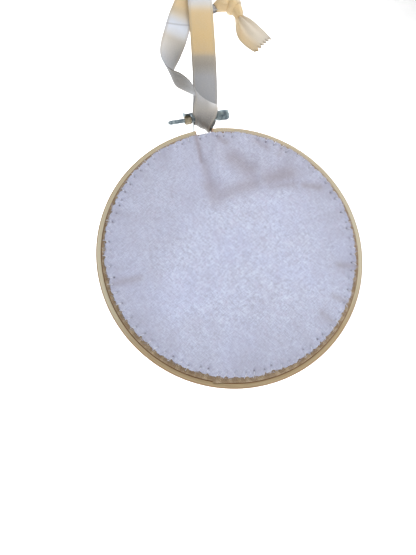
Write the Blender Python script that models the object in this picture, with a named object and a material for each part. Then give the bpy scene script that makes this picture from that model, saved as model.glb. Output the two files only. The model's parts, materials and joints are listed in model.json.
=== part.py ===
"""Back of a hoop embroidery, hung by its ribbon: bamboo hoops, taut cloth, felt disc, clamp and tied ribbon.

World frame: the origin is the underside of the ribbon's top bend, +Z is up and -Y is the felt side.
The hoops, cloth, felt and clamp are modelled in the hoop's own frame: its centre is the origin, +Z runs
through the split in the outer hoop, and one empty leans that frame and lowers it under the ribbon.
"""

import math

import bmesh
import bpy
from mathutils import Vector

MM = 0.001
GAP = 0.3 * MM

# Hoops
HANG_DROP = 184.57 * MM
CLAMP_LEAN = math.radians(5.43)
HOOP_RADIUS = 80.5 * MM
HOOP_WALL = 3.4 * MM
HOOP_DEPTH = 9.2 * MM
HOOP_BEVEL = 0.6 * MM
HOOP_SPLIT = 10.5 * MM
SCARF_ANGLE = math.radians(202.0)
SCARF_STEP = 1.1 * MM
SCARF_LENGTH = math.radians(6.5)
SCARF_EDGE = 0.002
INNER_HOOP_WALL = 3.4 * MM
RING_STEPS = 90

# Cloth and felt
CLOTH_THICKNESS = 1.0 * MM
TURNOVER = 12.0 * MM
PLEAT_COUNT = 26
PLEAT_HEIGHT = 0.3 * MM
CLOTH_ROUNDING = 0.4 * MM
FELT_RADIUS = 75.9 * MM
FELT_THICKNESS = 1.3 * MM
FELT_ROUNDING = 0.45 * MM
FELT_SCALLOP = 0.35 * MM
FELT_SCALLOP_COUNT = 24
FELT_RISE = 0.9 * MM
FELT_STEPS = 72
FELT_RINGS = (0.16, 0.32, 0.48, 0.62, 0.74, 0.84, 0.92, 0.97, 1.0)
FELT_LOOSE_SHARE = 0.74

# Wave of the cloth's turned-over edge, height in mm, waves round the hoop and phase in radians
HEM_WAVES = (
    ("long wave", 1.2, 5, 0.6),
    ("short wave", 0.7, 11, 0.0),
)

# Clamp
SCREW_HEIGHT = 90.8 * MM
SCREW_RADIUS = 1.5 * MM
SCREW_TIP = -20.6 * MM
TIP_LENGTH = 1.3 * MM
TIP_SHARE = 0.55
SHOULDER_RADIUS = 2.5 * MM
HEAD_RADIUS = 3.3 * MM
HEAD_START = 11.2 * MM
HEAD_END = 19.6 * MM
HEAD_CHAMFER = 0.6 * MM
TURNED_SIDES = 20
BORE_START = -14.0 * MM
BORE_END = 9.0 * MM
STRIP_THICKNESS = 0.6 * MM
STRIP_WIDTH = 4.6 * MM
FOOT_LENGTH = 24.5 * MM
FOOT_STEPS = 8
EAR_PLACE = 5.6 * MM
NUT_ACROSS = 4.8 * MM
NUT_LENGTH = 4.4 * MM
NUT_END = -9.9 * MM

# Bend of an ear above its foot, x and z in mm in the hoop's frame
LEFT_EAR = (
    ("root", -5.6, 82.4),
    ("leaning up", -4.0, 93.2),
    ("top", -4.7, 94.2),
    ("flap over the nut", -7.0, 94.0),
    ("flap end", -8.8, 94.1),
    ("flared lip", -10.0, 95.1),
)
RIGHT_EAR = (
    ("root", 5.6, 82.4),
    ("top", 5.6, 94.2),
)

# Ribbon
RIBBON_THICKNESS = 1.0 * MM
SECTION_STEPS = 3
TOOTH_DEPTH = 1.8 * MM
TAIL_COLUMNS = 8
TAIL_CUP = 0.08
KNOT_SIDES = 12
WRAP_STEPS = 16
WRAP_SIDES = 8

# Section of the ribbon's loop, centre x, y, z in mm, width in mm, turn away from +X and dip in degrees
RIBBON_SECTIONS = (
    ("end in the knot", 21.0, 10.2, -2.8, 4.4, 0, -90),
    ("outer band", 15.6, 9.4, -3.8, 5.4, 0, -88),
    ("outer gather", 9.8, 8.7, -6.2, 9.0, 0, -50),
    ("outer, behind the bend", 4.5, 7.3, -4.6, 14.6, 0, -14),
    ("outer, back of the bend", 3.4, 4.9, -0.1, 16.4, 0, 0),
    ("outer, top", 2.6, 0.0, 1.9, 16.4, 0, 0),
    ("outer, front of the bend", 2.1, -4.9, -0.1, 16.4, 0, 1),
    ("outer, front", 1.8, -6.9, -5.0, 16.4, 0, 2),
    ("right strand, top", 1.4, -7.0, -14.0, 16.4, 0, 2),
    ("right strand, high", 0.8, -3.4, -31.7, 16.4, 0, 3),
    ("right strand, middle", -0.1, 0.6, -51.2, 16.4, 0, 3),
    ("right strand, low", -0.9, 3.6, -64.5, 16.4, 0, 3),
    ("right strand, foot", -2.3, 4.9, -78.0, 16.4, 0, 2),
    ("behind the screw", -4.9, 5.0, -92.4, 16.4, 0, 0),
    ("narrowing, back", -6.2, 4.9, -96.4, 13.8, 0, 14),
    ("below, back", -7.2, 4.2, -98.9, 11.4, 0, 30),
    ("under, back", -7.5, 2.4, -100.0, 11.0, 0, 37),
    ("under the screw", -7.5, 0.0, -100.4, 10.8, 0, 38),
    ("under, front", -7.5, -2.4, -100.0, 11.0, 0, 37),
    ("below, front", -7.2, -4.2, -98.9, 11.4, 0, 30),
    ("narrowing, front", -6.2, -5.0, -96.4, 13.8, 0, 14),
    ("front of the screw", -5.3, -5.2, -92.8, 16.2, 0, 0),
    ("front, rising", -3.7, -5.2, -85.8, 16.4, 26, 3),
    ("foot of the curl", -5.9, -4.8, -81.7, 16.4, 50, 4),
    ("curl, right", -11.0, -4.4, -75.6, 16.4, 74, 0),
    ("curl, middle", -18.2, -3.8, -69.4, 16.4, 87, 0),
    ("curl, left", -22.2, -3.6, -66.4, 16.4, 82, -2),
    ("curl, turning up", -24.5, -3.6, -62.6, 16.4, 72, -1),
    ("curl, head", -25.2, -3.8, -56.3, 16.4, 59, 2),
    ("left strand, foot", -22.0, -4.2, -47.2, 16.4, 36, 8),
    ("left strand, low", -17.9, -4.5, -37.1, 16.4, 22, 14),
    ("left strand, middle", -13.4, -4.6, -25.1, 16.4, 14, 16),
    ("left strand, high", -7.6, -5.0, -12.5, 16.4, 5, 14),
    ("inner, front", -5.2, -5.5, -5.0, 16.4, 0, 6),
    ("inner, front of the bend", -3.6, -3.9, -1.1, 16.4, 0, 0),
    ("inner, top", -1.2, 0.0, 0.5, 16.4, 0, 0),
    ("inner, back of the bend", 1.6, 3.9, -1.1, 16.2, 0, 0),
    ("inner, behind the bend", 4.0, 5.3, -5.4, 14.0, 0, -16),
    ("inner gather", 9.6, 6.3, -6.4, 9.0, 0, -52),
    ("inner band", 15.6, 7.4, -3.8, 5.4, 0, -88),
    ("other end in the knot", 21.0, 8.4, -2.8, 4.4, 0, -90),
)

# Row of a tail, left edge x, y, z and right edge x, y, z in mm
TAIL_ROWS = (
    ("in the knot", 28.9, 9.4, -8.0, 32.0, 9.4, -7.4),
    ("neck", 28.6, 8.8, -13.2, 33.6, 8.6, -10.8),
    ("flare", 27.9, 9.0, -20.0, 38.4, 7.4, -15.2),
    ("fold", 28.6, 9.2, -27.4, 42.5, 6.4, -20.6),
    ("blade", 32.0, 8.6, -34.0, 46.6, 6.0, -26.2),
    ("pinked end", 38.7, 7.4, -41.4, 50.4, 5.2, -32.8),
)
BACK_TAIL_SHIFT = (1.2 * MM, 1.7 * MM, 0.4 * MM)

# Point on the knot's core, x, y, z and radius in mm
KNOT_CORE = (
    ("band end", 14.6, 8.5, -3.8, 3.4),
    ("first swell", 19.5, 8.6, -1.6, 4.6),
    ("crown", 25.6, 9.4, 0.2, 4.8),
    ("shoulder", 30.2, 9.2, -5.0, 4.6),
    ("neck", 31.2, 8.9, -12.2, 2.8),
)
KNOT_WRAP = {"centre": (28.4, 9.4, -2.0), "axis": (0.62, 0.0, -0.78), "major": 3.9, "minor": 2.6}

# Fold of the felt from one end x, z to the other in the hoop's frame, half width and height out, in mm
FELT_FOLDS = (
    ("crease under the split", -6.0, 74.0, -5.2, 56.0, 2.2, 0.9),
    ("fading crease", -5.2, 56.0, -6.0, 36.0, 3.5, 0.5),
    ("hollow right of the split", 6.0, 62.0, 22.0, 50.0, 7.0, -0.8),
    ("hollow running down", 22.0, 50.0, 11.0, 30.0, 6.0, -0.9),
    ("hollow at the upper right", 34.0, 46.0, 48.0, 27.0, 8.0, -0.9),
    ("ridge at the upper right", 30.0, 62.0, 52.0, 46.0, 4.0, 0.6),
    ("pucker at the right", 72.0, -26.0, 58.0, -21.0, 2.2, 0.6),
    ("pucker at the lower right", 61.0, -44.0, 50.0, -36.0, 2.4, 0.6),
    ("pucker near the foot", 46.0, -56.0, 38.0, -46.0, 2.4, 0.5),
    ("pucker at the foot", 31.0, -66.0, 26.0, -55.0, 2.2, 0.5),
    ("pucker at the left", -73.0, -6.0, -60.0, -4.0, 2.4, 0.5),
    ("loose middle", -10.0, -20.0, 20.0, -10.0, 34.0, -0.5),
)


def clear_scene():
    for item in list(bpy.context.scene.objects):
        bpy.data.objects.remove(item, do_unlink=True)


def material(name, colour, roughness, metallic=0.0):
    made = bpy.data.materials.new(name)
    made.use_nodes = True
    shader = made.node_tree.nodes["Principled BSDF"]
    shader.inputs["Base Color"].default_value = (*colour, 1.0)
    shader.inputs["Roughness"].default_value = roughness
    shader.inputs["Metallic"].default_value = metallic
    made.diffuse_color = (*colour, 1.0)
    return made


def new_object(name, bm, finish=None, parent=None, smooth_angle=40.0):
    """Turns the bmesh's faces outwards and makes an object from it."""
    bmesh.ops.recalc_face_normals(bm, faces=bm.faces)
    mesh = bpy.data.meshes.new(name)
    bm.to_mesh(mesh)
    bm.free()
    mesh.shade_smooth()
    mesh.set_sharp_from_angle(angle=math.radians(smooth_angle))
    made = bpy.data.objects.new(name, mesh)
    bpy.context.scene.collection.objects.link(made)
    if finish:
        mesh.materials.append(finish)
    made.parent = parent
    return made


def boolean(target, tool, operation):
    """Adds an exact Boolean and keeps its tool out of the model."""
    modifier = target.modifiers.new(tool.name, "BOOLEAN")
    modifier.operation = operation
    modifier.object = tool
    tool.hide_render = True
    tool.display_type = "WIRE"


def bridge(bm, first, second, closed=True):
    """Joins two equal rows of vertices with quads."""
    count = len(first)
    for i in range(count if closed else count - 1):
        j = (i + 1) % count
        bm.faces.new((first[i], first[j], second[j], second[i]))


def round_hoop(angle, radius, y):
    """Point of the hoop's own frame; the angle runs from the split towards +X."""
    return Vector((radius * math.sin(angle), y, radius * math.cos(angle)))


# Hoops


def hoop_section(cut):
    """Bevelled rectangle of the outer hoop, as (radius, y), with its back inner edge pared by a cut."""
    inner, half, bevel = HOOP_RADIUS - HOOP_WALL, HOOP_DEPTH / 2, HOOP_BEVEL
    return (
        (HOOP_RADIUS - bevel, -half),
        (HOOP_RADIUS, -half + bevel),
        (HOOP_RADIUS, half - bevel),
        (HOOP_RADIUS - bevel, half),
        (inner + bevel, half),
        (inner, half - bevel),
        (inner, 0.0),
        (inner + cut, -half + bevel),
        (inner + cut + bevel, -half),
    )


def scarf_cut(angle):
    """Depth by which the outer hoop's wall is pared away inside, just past the end of its inner layer."""
    along = (angle - SCARF_ANGLE) / SCARF_LENGTH
    if not -1.0 < along < 0.0:
        return 0.0
    return SCARF_STEP * (1.0 + along)


def outer_hoop(finish, parent):
    half_split = math.asin(HOOP_SPLIT / 2 / HOOP_RADIUS)
    span = 2 * math.pi - 2 * half_split
    angles = [half_split + span * k / RING_STEPS for k in range(RING_STEPS + 1)]
    angles += [SCARF_ANGLE - SCARF_LENGTH, SCARF_ANGLE - SCARF_EDGE, SCARF_ANGLE + SCARF_EDGE]
    bm = bmesh.new()
    rows = []
    for angle in sorted(angles):
        rows.append([bm.verts.new(round_hoop(angle, r, y)) for r, y in hoop_section(scarf_cut(angle))])
    for first, second in zip(rows, rows[1:]):
        bridge(bm, first, second)
    bm.faces.new(rows[0])
    bm.faces.new(list(reversed(rows[-1])))
    return new_object("outer_hoop", bm, finish, parent)


def inner_hoop(finish, parent):
    outside = HOOP_RADIUS - HOOP_WALL - CLOTH_THICKNESS - 2 * GAP
    inside = outside - INNER_HOOP_WALL
    half = HOOP_DEPTH / 2
    section = ((outside, -half), (outside, half), (inside, half), (inside, -half))
    bm = bmesh.new()
    rows = []
    for k in range(RING_STEPS):
        angle = 2 * math.pi * k / RING_STEPS
        rows.append([bm.verts.new(round_hoop(angle, r, y)) for r, y in section])
    for k in range(RING_STEPS):
        bridge(bm, rows[k], rows[(k + 1) % RING_STEPS])
    return new_object("inner_hoop", bm, finish, parent)


# Cloth and felt


def pleat(angle):
    """How far a gathered pleat stands out at this angle, from 0 to 1; uneven round the hoop."""
    uneven = 1.3 * math.sin(3 * angle) + 0.9 * math.sin(7 * angle + 1.0)
    return max(0.0, math.cos(PLEAT_COUNT * angle + uneven)) ** 2


def cloth(finish, parent):
    """Drum head, side and turned-over edge in one sheet."""
    outer = HOOP_RADIUS - HOOP_WALL - GAP
    inner = outer - CLOTH_THICKNESS
    face = HOOP_DEPTH / 2 + GAP
    skin = face + CLOTH_THICKNESS
    corner = CLOTH_ROUNDING
    bm = bmesh.new()
    rows = []
    for k in range(RING_STEPS):
        angle = 2 * math.pi * k / RING_STEPS
        lift = PLEAT_HEIGHT * pleat(angle)
        hem = inner - TURNOVER
        for _, height, waves, phase in HEM_WAVES:
            hem += height * MM * math.sin(waves * angle + phase)
        section = (
            (outer / 2, skin),
            (outer - CLOTH_THICKNESS, skin),
            (outer - corner, skin - corner / 2),
            (outer, skin - CLOTH_THICKNESS),
            (outer, -skin + CLOTH_THICKNESS),
            (outer - corner, -skin + corner / 2),
            (outer - CLOTH_THICKNESS, -skin - lift),
            (hem + TURNOVER / 2, -skin - lift),
            (hem, -skin),
            (hem, -face),
            (inner, -face),
            (inner, face),
            (outer / 2, face),
        )
        rows.append([bm.verts.new(round_hoop(angle, r, y)) for r, y in section])
    front = bm.verts.new((0, skin, 0))
    back = bm.verts.new((0, face, 0))
    for k in range(RING_STEPS):
        here, after = rows[k], rows[(k + 1) % RING_STEPS]
        bridge(bm, here, after, closed=False)
        bm.faces.new((front, here[0], after[0]))
        bm.faces.new((back, after[-1], here[-1]))
    return new_object("cloth", bm, finish, parent)


def felt_height(x, z):
    """Height of the felt's folds towards -Y at a point of the hoop's frame."""
    total = 0.0
    for _, x0, z0, x1, z1, half_width, height in FELT_FOLDS:
        start, end = Vector((x0, z0)) * MM, Vector((x1, z1)) * MM
        run = end - start
        along = max(0.0, min(1.0, (Vector((x, z)) - start).dot(run) / run.length_squared))
        away = (Vector((x, z)) - start - run * along).length / (half_width * MM)
        total += height * MM * math.exp(-away * away)
    return total


def felt_backing(finish, parent):
    """Disc of felt sewn over the back; its outer rings lie on the turned-over cloth."""
    floor = -(HOOP_DEPTH / 2 + 2 * GAP + CLOTH_THICKNESS + PLEAT_HEIGHT)
    bm = bmesh.new()
    outside, inside = [], []
    for share in FELT_RINGS:
        edge = share == FELT_RINGS[-1]
        top_row, under_row = [], []
        for k in range(FELT_STEPS):
            angle = 2 * math.pi * k / FELT_STEPS
            radius = FELT_RADIUS * share
            if edge:
                radius -= FELT_SCALLOP * abs(math.sin(FELT_SCALLOP_COUNT * angle))
            x = radius * math.sin(angle)
            z = radius * math.cos(angle) + FELT_RISE
            rise = felt_height(x, z)
            if share >= FELT_LOOSE_SHARE:
                rise = max(0.0, rise)
            top = floor - FELT_THICKNESS - rise
            under = floor - rise
            if edge:
                top += FELT_ROUNDING
                under = floor - rise / 2
            top_row.append(bm.verts.new((x, top, z)))
            under_row.append(bm.verts.new((x, under, z)))
        outside.append(top_row)
        inside.append(under_row)
    middle = felt_height(0.0, FELT_RISE)
    top_pole = bm.verts.new((0, floor - FELT_THICKNESS - middle, FELT_RISE))
    under_pole = bm.verts.new((0, floor - middle, FELT_RISE))
    for rows, pole in ((outside, top_pole), (inside, under_pole)):
        for first, second in zip(rows, rows[1:]):
            bridge(bm, first, second)
        for k in range(FELT_STEPS):
            bm.faces.new((pole, rows[0][k], rows[0][(k + 1) % FELT_STEPS]))
    bridge(bm, outside[-1], inside[-1])
    return new_object("felt_backing", bm, finish, parent)


# Clamp


def bent_strip(name, path, finish, parent):
    """A flat metal strip bent along a path of (x, z) points in the hoop's frame, mitred at its bends."""
    points = [Vector(p) for p in path]
    last = len(points) - 1
    half = STRIP_WIDTH / 2
    bm = bmesh.new()
    rows = []
    for i, point in enumerate(points):
        before = (points[max(i, 1)] - points[max(i, 1) - 1]).normalized()
        after = (points[min(i, last - 1) + 1] - points[min(i, last - 1)]).normalized()
        run = (before + after).normalized()
        normal = Vector((-run.y, run.x))
        reach = STRIP_THICKNESS / 2 / max(0.5, run.dot(before))
        upper, lower = point + normal * reach, point - normal * reach
        corners = ((upper, -half), (upper, half), (lower, half), (lower, -half))
        rows.append([bm.verts.new((p.x, y, p.y)) for p, y in corners])
    for first, second in zip(rows, rows[1:]):
        bridge(bm, first, second)
    bm.faces.new(rows[0])
    bm.faces.new(list(reversed(rows[-1])))
    return new_object(name, bm, finish, parent, smooth_angle=30.0)


def foot_path(side):
    """Arc of a bracket's foot on the outer hoop, from its free end to the split."""
    radius = HOOP_RADIUS + GAP + STRIP_THICKNESS / 2
    near = math.asin((EAR_PLACE + STRIP_THICKNESS) / radius)
    far = near + FOOT_LENGTH / radius
    angles = [far + (near - far) * k / FOOT_STEPS for k in range(FOOT_STEPS + 1)]
    return [(side * radius * math.sin(a), radius * math.cos(a)) for a in angles]


def ear_path(table):
    return [(x * MM, z * MM) for _, x, z in table]


def left_bracket(finish, parent):
    """Foot, leaning ear and a folded flap over the nut that ends in a flared lip."""
    return bent_strip("bracket_left", foot_path(-1) + ear_path(LEFT_EAR), finish, parent)


def right_bracket(finish, parent):
    return bent_strip("bracket_right", foot_path(1) + ear_path(RIGHT_EAR), finish, parent)


def turned_x(name, profile, finish, parent, sides=TURNED_SIDES, turn=0.0):
    """Solid turned about the X axis from (x, radius) points, closed by flat ends; turn is in sides."""
    bm = bmesh.new()
    rows = []
    for x, radius in profile:
        row = []
        for k in range(sides):
            angle = 2 * math.pi * (k + turn) / sides
            row.append(bm.verts.new((x, radius * math.sin(angle), radius * math.cos(angle))))
        rows.append(row)
    for first, second in zip(rows, rows[1:]):
        bridge(bm, first, second)
    bm.faces.new(rows[0])
    bm.faces.new(list(reversed(rows[-1])))
    return new_object(name, bm, finish, parent, smooth_angle=30.0)


def thumb_screw(finish, parent):
    shoulder_start = EAR_PLACE + STRIP_THICKNESS / 2 + GAP
    profile = (
        (SCREW_TIP, SCREW_RADIUS * TIP_SHARE),
        (SCREW_TIP + TIP_LENGTH, SCREW_RADIUS),
        (shoulder_start, SCREW_RADIUS),
        (shoulder_start, SHOULDER_RADIUS),
        (HEAD_START, SHOULDER_RADIUS),
        (HEAD_START, HEAD_RADIUS - HEAD_CHAMFER),
        (HEAD_START + HEAD_CHAMFER, HEAD_RADIUS),
        (HEAD_END - HEAD_CHAMFER, HEAD_RADIUS),
        (HEAD_END, HEAD_RADIUS - HEAD_CHAMFER),
    )
    return turned_x("thumb_screw", profile, finish, parent)


def nut(finish, parent):
    """Hexagonal nut with two flats level, against the left ear."""
    corner = NUT_ACROSS / 2 / math.cos(math.pi / 6)
    profile = ((NUT_END, corner), (NUT_END + NUT_LENGTH, corner))
    return turned_x("nut", profile, finish, parent, sides=6, turn=0.5)


def screw_bore(parent):
    """Cutter for the screw's way through both ears and the nut."""
    profile = ((BORE_START, SCREW_RADIUS + GAP), (BORE_END, SCREW_RADIUS + GAP))
    return turned_x("screw_bore", profile, None, parent)


# Ribbon


def smooth_rows(table, steps):
    """Rows of numbers on a smooth curve through a table's rows, without the names in its first column."""
    rows = [row[1:] for row in table]
    out = []
    for i in range(len(rows) - 1):
        p0, p1, p2, p3 = rows[max(0, i - 1)], rows[i], rows[i + 1], rows[min(len(rows) - 1, i + 2)]
        for s in range(steps):
            t = s / steps
            blend = (
                -0.5 * t + t * t - 0.5 * t**3,
                1 - 2.5 * t * t + 1.5 * t**3,
                0.5 * t + 2 * t * t - 1.5 * t**3,
                -0.5 * t * t + 0.5 * t**3,
            )
            out.append([sum(w * v for w, v in zip(blend, column)) for column in zip(p0, p1, p2, p3)])
    out.append(list(rows[-1]))
    return out


def sheet_solid(name, grid, thickness, finish=None):
    """Closed sheet of even thickness about a grid of points, rows along it and columns across."""
    last_row, last_column = len(grid) - 1, len(grid[0]) - 1
    bm = bmesh.new()
    faces = []
    for side in (1, -1):
        rows = []
        for i, row in enumerate(grid):
            made = []
            for j, point in enumerate(row):
                along = grid[min(i + 1, last_row)][j] - grid[max(i - 1, 0)][j]
                across = row[min(j + 1, last_column)] - row[max(j - 1, 0)]
                normal = along.cross(across).normalized()
                made.append(bm.verts.new(point + normal * side * thickness / 2))
            rows.append(made)
        for first, second in zip(rows, rows[1:]):
            bridge(bm, first, second, closed=False)
        faces.append(rows)
    front, back = faces
    bridge(bm, front[0], back[0], closed=False)
    bridge(bm, front[-1], back[-1], closed=False)
    for j in (0, -1):
        bridge(bm, [row[j] for row in front], [row[j] for row in back], closed=False)
    return new_object(name, bm, finish)


def loop_strip(finish):
    grid = []
    for x, y, z, width, turn, dip in smooth_rows(RIBBON_SECTIONS, SECTION_STEPS):
        turned, dipped = math.radians(turn), math.radians(dip)
        level = math.cos(dipped)
        across = Vector((math.cos(turned) * level, math.sin(turned) * level, -math.sin(dipped)))
        centre = Vector((x, y, z)) * MM
        reach = across * width * MM / 2
        grid.append([centre - reach, centre + reach])
    return sheet_solid("ribbon", grid, RIBBON_THICKNESS, finish)


def tail(name, shift):
    """A tail from the knot's neck to its pinked end, gently cupped across."""
    grid = []
    for ax, ay, az, bx, by, bz in smooth_rows(TAIL_ROWS, 2):
        left, right = Vector((ax, ay, az)) * MM + shift, Vector((bx, by, bz)) * MM + shift
        row = []
        for j in range(TAIL_COLUMNS + 1):
            share = j / TAIL_COLUMNS
            cup = Vector((0.0, -TAIL_CUP * (right - left).length * math.sin(math.pi * share), 0.0))
            row.append(left.lerp(right, share) + cup)
        grid.append(row)
    for j in range(1, TAIL_COLUMNS, 2):
        forward = (grid[-1][j] - grid[-2][j]).normalized()
        grid[-1][j] -= forward * TOOTH_DEPTH
    return sheet_solid(name, grid, RIBBON_THICKNESS)


def knot_core():
    """Swelling tube from the two bands to the neck of the tails."""
    stations = smooth_rows(KNOT_CORE, 2)
    centres = [Vector(s[:3]) * MM for s in stations]
    bm = bmesh.new()
    rows = []
    for i, station in enumerate(stations):
        run = (centres[min(i + 1, len(centres) - 1)] - centres[max(i - 1, 0)]).normalized()
        sideways = Vector((0, 1, 0))
        upright = run.cross(sideways).normalized()
        row = []
        for k in range(KNOT_SIDES):
            angle = 2 * math.pi * k / KNOT_SIDES
            spoke = sideways * math.sin(angle) + upright * math.cos(angle)
            row.append(bm.verts.new(centres[i] + spoke * station[3] * MM))
        rows.append(row)
    for first, second in zip(rows, rows[1:]):
        bridge(bm, first, second)
    bm.faces.new(rows[0])
    bm.faces.new(list(reversed(rows[-1])))
    return new_object("knot_core", bm)


def knot_wrap():
    """The turn that goes round the core, a fat ring."""
    axis = Vector(KNOT_WRAP["axis"]).normalized()
    first = axis.cross(Vector((0, 1, 0))).normalized()
    second = axis.cross(first)
    bm = bmesh.new()
    rows = []
    for k in range(WRAP_STEPS):
        angle = 2 * math.pi * k / WRAP_STEPS
        out = first * math.cos(angle) + second * math.sin(angle)
        row = []
        for s in range(WRAP_SIDES):
            turn = 2 * math.pi * s / WRAP_SIDES
            spoke = out * (KNOT_WRAP["major"] + KNOT_WRAP["minor"] * math.cos(turn))
            spoke += axis * KNOT_WRAP["minor"] * math.sin(turn)
            row.append(bm.verts.new((Vector(KNOT_WRAP["centre"]) + spoke) * MM))
        rows.append(row)
    for k in range(WRAP_STEPS):
        bridge(bm, rows[k], rows[(k + 1) % WRAP_STEPS])
    return new_object("knot_wrap", bm)


def ribbon(finish):
    """Loop, knot and both tails as one piece."""
    loop = loop_strip(finish)
    front_tail = tail("front_tail", Vector((0, 0, 0)))
    back_tail = tail("back_tail", Vector(BACK_TAIL_SHIFT))
    for tool in (knot_core(), knot_wrap(), front_tail, back_tail):
        boolean(loop, tool, "UNION")
    return loop


def empty(name, location, parent=None):
    made = bpy.data.objects.new(name, None)
    bpy.context.scene.collection.objects.link(made)
    made.location = location
    made.parent = parent
    return made


def build():
    clear_scene()
    bamboo = material("bamboo", (0.62, 0.47, 0.29), 0.5)
    inner_bamboo = material("inner_bamboo", (0.66, 0.51, 0.33), 0.55)
    cotton = material("cotton_cloth", (0.78, 0.72, 0.60), 0.9)
    felt = material("felt", (0.74, 0.73, 0.80), 0.95)
    zinc = material("zinc", (0.55, 0.60, 0.62), 0.35, 1.0)
    brass = material("brass", (0.66, 0.56, 0.38), 0.35, 1.0)
    grosgrain = material("grosgrain", (0.86, 0.82, 0.73), 0.6)

    hoop_frame = empty("hoop_frame", (0, 0, -HANG_DROP))
    hoop_frame.rotation_euler = (0, -CLAMP_LEAN, 0)
    screw_axis = empty("screw_axis", (0, 0, SCREW_HEIGHT), hoop_frame)

    outer_hoop(bamboo, hoop_frame)
    inner_hoop(inner_bamboo, hoop_frame)
    cloth(cotton, hoop_frame)
    felt_backing(felt, hoop_frame)
    bore = screw_bore(screw_axis)
    boolean(left_bracket(zinc, hoop_frame), bore, "DIFFERENCE")
    boolean(right_bracket(zinc, hoop_frame), bore, "DIFFERENCE")
    boolean(nut(brass, screw_axis), bore, "DIFFERENCE")
    thumb_screw(zinc, screw_axis)
    ribbon(grosgrain)


build()
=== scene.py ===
"""Looks of a finished hoop embroidery, seen from its felt-backed side and hung by its tied ribbon.

Everything is in metres in the part's own frame: the origin is the underside of the ribbon's top bend, +Z is
up and -Y is the felt side. What belongs to the hoop is worked out in the hoop's own frame, whose centre is
the hoop's and whose +Z runs through the split of the outer hoop, and is turned into place by from_hoop.
"""

import json
import math
import random

import bmesh
import bpy
import numpy as np
from mathutils import Matrix, Vector, noise


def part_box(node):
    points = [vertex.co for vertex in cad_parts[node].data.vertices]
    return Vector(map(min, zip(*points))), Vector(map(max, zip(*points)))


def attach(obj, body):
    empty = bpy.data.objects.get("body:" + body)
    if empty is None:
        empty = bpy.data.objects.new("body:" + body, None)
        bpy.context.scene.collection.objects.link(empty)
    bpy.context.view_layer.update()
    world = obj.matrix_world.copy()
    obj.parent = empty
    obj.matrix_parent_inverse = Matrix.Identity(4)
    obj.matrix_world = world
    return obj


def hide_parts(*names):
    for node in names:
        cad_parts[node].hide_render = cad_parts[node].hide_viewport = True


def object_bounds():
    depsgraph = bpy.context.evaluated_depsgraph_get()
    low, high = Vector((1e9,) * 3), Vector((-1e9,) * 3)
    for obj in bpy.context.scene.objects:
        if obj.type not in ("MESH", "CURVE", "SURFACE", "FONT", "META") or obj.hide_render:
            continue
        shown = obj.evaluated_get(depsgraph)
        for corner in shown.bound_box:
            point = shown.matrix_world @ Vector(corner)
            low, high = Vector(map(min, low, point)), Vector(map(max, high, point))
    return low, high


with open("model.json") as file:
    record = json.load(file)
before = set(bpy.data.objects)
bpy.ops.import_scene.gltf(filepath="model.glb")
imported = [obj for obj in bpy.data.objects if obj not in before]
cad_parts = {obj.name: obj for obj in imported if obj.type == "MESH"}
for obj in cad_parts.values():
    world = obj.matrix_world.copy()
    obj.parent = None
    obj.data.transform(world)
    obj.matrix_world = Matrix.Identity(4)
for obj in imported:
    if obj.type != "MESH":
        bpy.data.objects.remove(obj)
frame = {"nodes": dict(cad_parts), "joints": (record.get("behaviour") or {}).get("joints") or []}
CAD_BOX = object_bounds()

MM = 0.001
TAU = 2 * math.pi

# Hoop's own frame, read from the clamp's joint and the inner hoop's box
SCREW_JOINT = frame["joints"][0]
CLAMP_LEAN = math.atan2(SCREW_JOINT["axis"][2], SCREW_JOINT["axis"][0])
HOOP_CENTRE = (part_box("inner_hoop")[0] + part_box("inner_hoop")[1]) / 2
HOOP_TURN = Matrix.Translation(HOOP_CENTRE) @ Matrix.Rotation(-CLAMP_LEAN, 4, "Y")
SCREW_HEIGHT = (HOOP_TURN.inverted() @ Vector(SCREW_JOINT["pos_m"])).z

# Hoops
HOOP_RADIUS = 80.5 * MM
HOOP_WALL = 3.4 * MM
HOOP_DEPTH = 9.2 * MM
HOOP_ROUNDING = 0.6 * MM
HOOP_SPLIT = 10.5 * MM
SCARF_ANGLE = math.radians(202.0)
SCARF_STEP = 1.1 * MM
SCARF_LENGTH = math.radians(6.5)

# Cloth, felt and sewing
CLOTH_RADIUS = 77.1 * MM
CLOTH_FACE = 5.85 * MM
CLOTH_CORNER = 0.8 * MM
CLOTH_WEIGHT = 0.4 * MM
WEAVE_PITCH = 0.9 * MM
TURNOVER = 12.0 * MM
TUCK_COUNT = 74
FELT_RADIUS = 75.9 * MM
FELT_RISE = 0.9 * MM
FELT_FLOOR = -6.5 * MM
FELT_THICKNESS = 1.3 * MM
FELT_TOP = FELT_FLOOR - FELT_THICKNESS
FELT_TRIM = 0.4 * MM
FIBRE_COUNT = 4200
# Share of the felt's radius past which the cloth under it keeps it from sinking in
HOLLOW_LIMIT = 0.74
# The felt's paler round patch and the height from which the shade of its folds stays outside it
PATCH_X, PATCH_Z = 16.0 * MM, -32.0 * MM
PATCH_RADIUS = 65.0 * MM
PATCH_SHADE_FOOT = 20.0 * MM
STITCH_COUNT = 86
STITCH_INSET = 2.6 * MM
THREAD_RADIUS = 0.17 * MM

# Clamp
SCREW_RADIUS = 1.5 * MM
SCREW_TIP = -20.6 * MM
THREAD_PITCH = 0.5 * MM
SHOULDER_START = 6.2 * MM
SHOULDER_RADIUS = 2.5 * MM
HEAD_START = 11.2 * MM
HEAD_END = 19.6 * MM
HEAD_RADIUS = 3.3 * MM
HEAD_BODY = HEAD_RADIUS - 0.32 * MM
STRIP_THICKNESS = 0.6 * MM
STRIP_WIDTH = 4.6 * MM
STRIP_GAP = 0.3 * MM
FOOT_LENGTH = 24.5 * MM
EAR_PLACE = 5.6 * MM
NUT_ACROSS = 4.8 * MM
NUT_LENGTH = 4.4 * MM
NUT_END = -9.9 * MM

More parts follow.
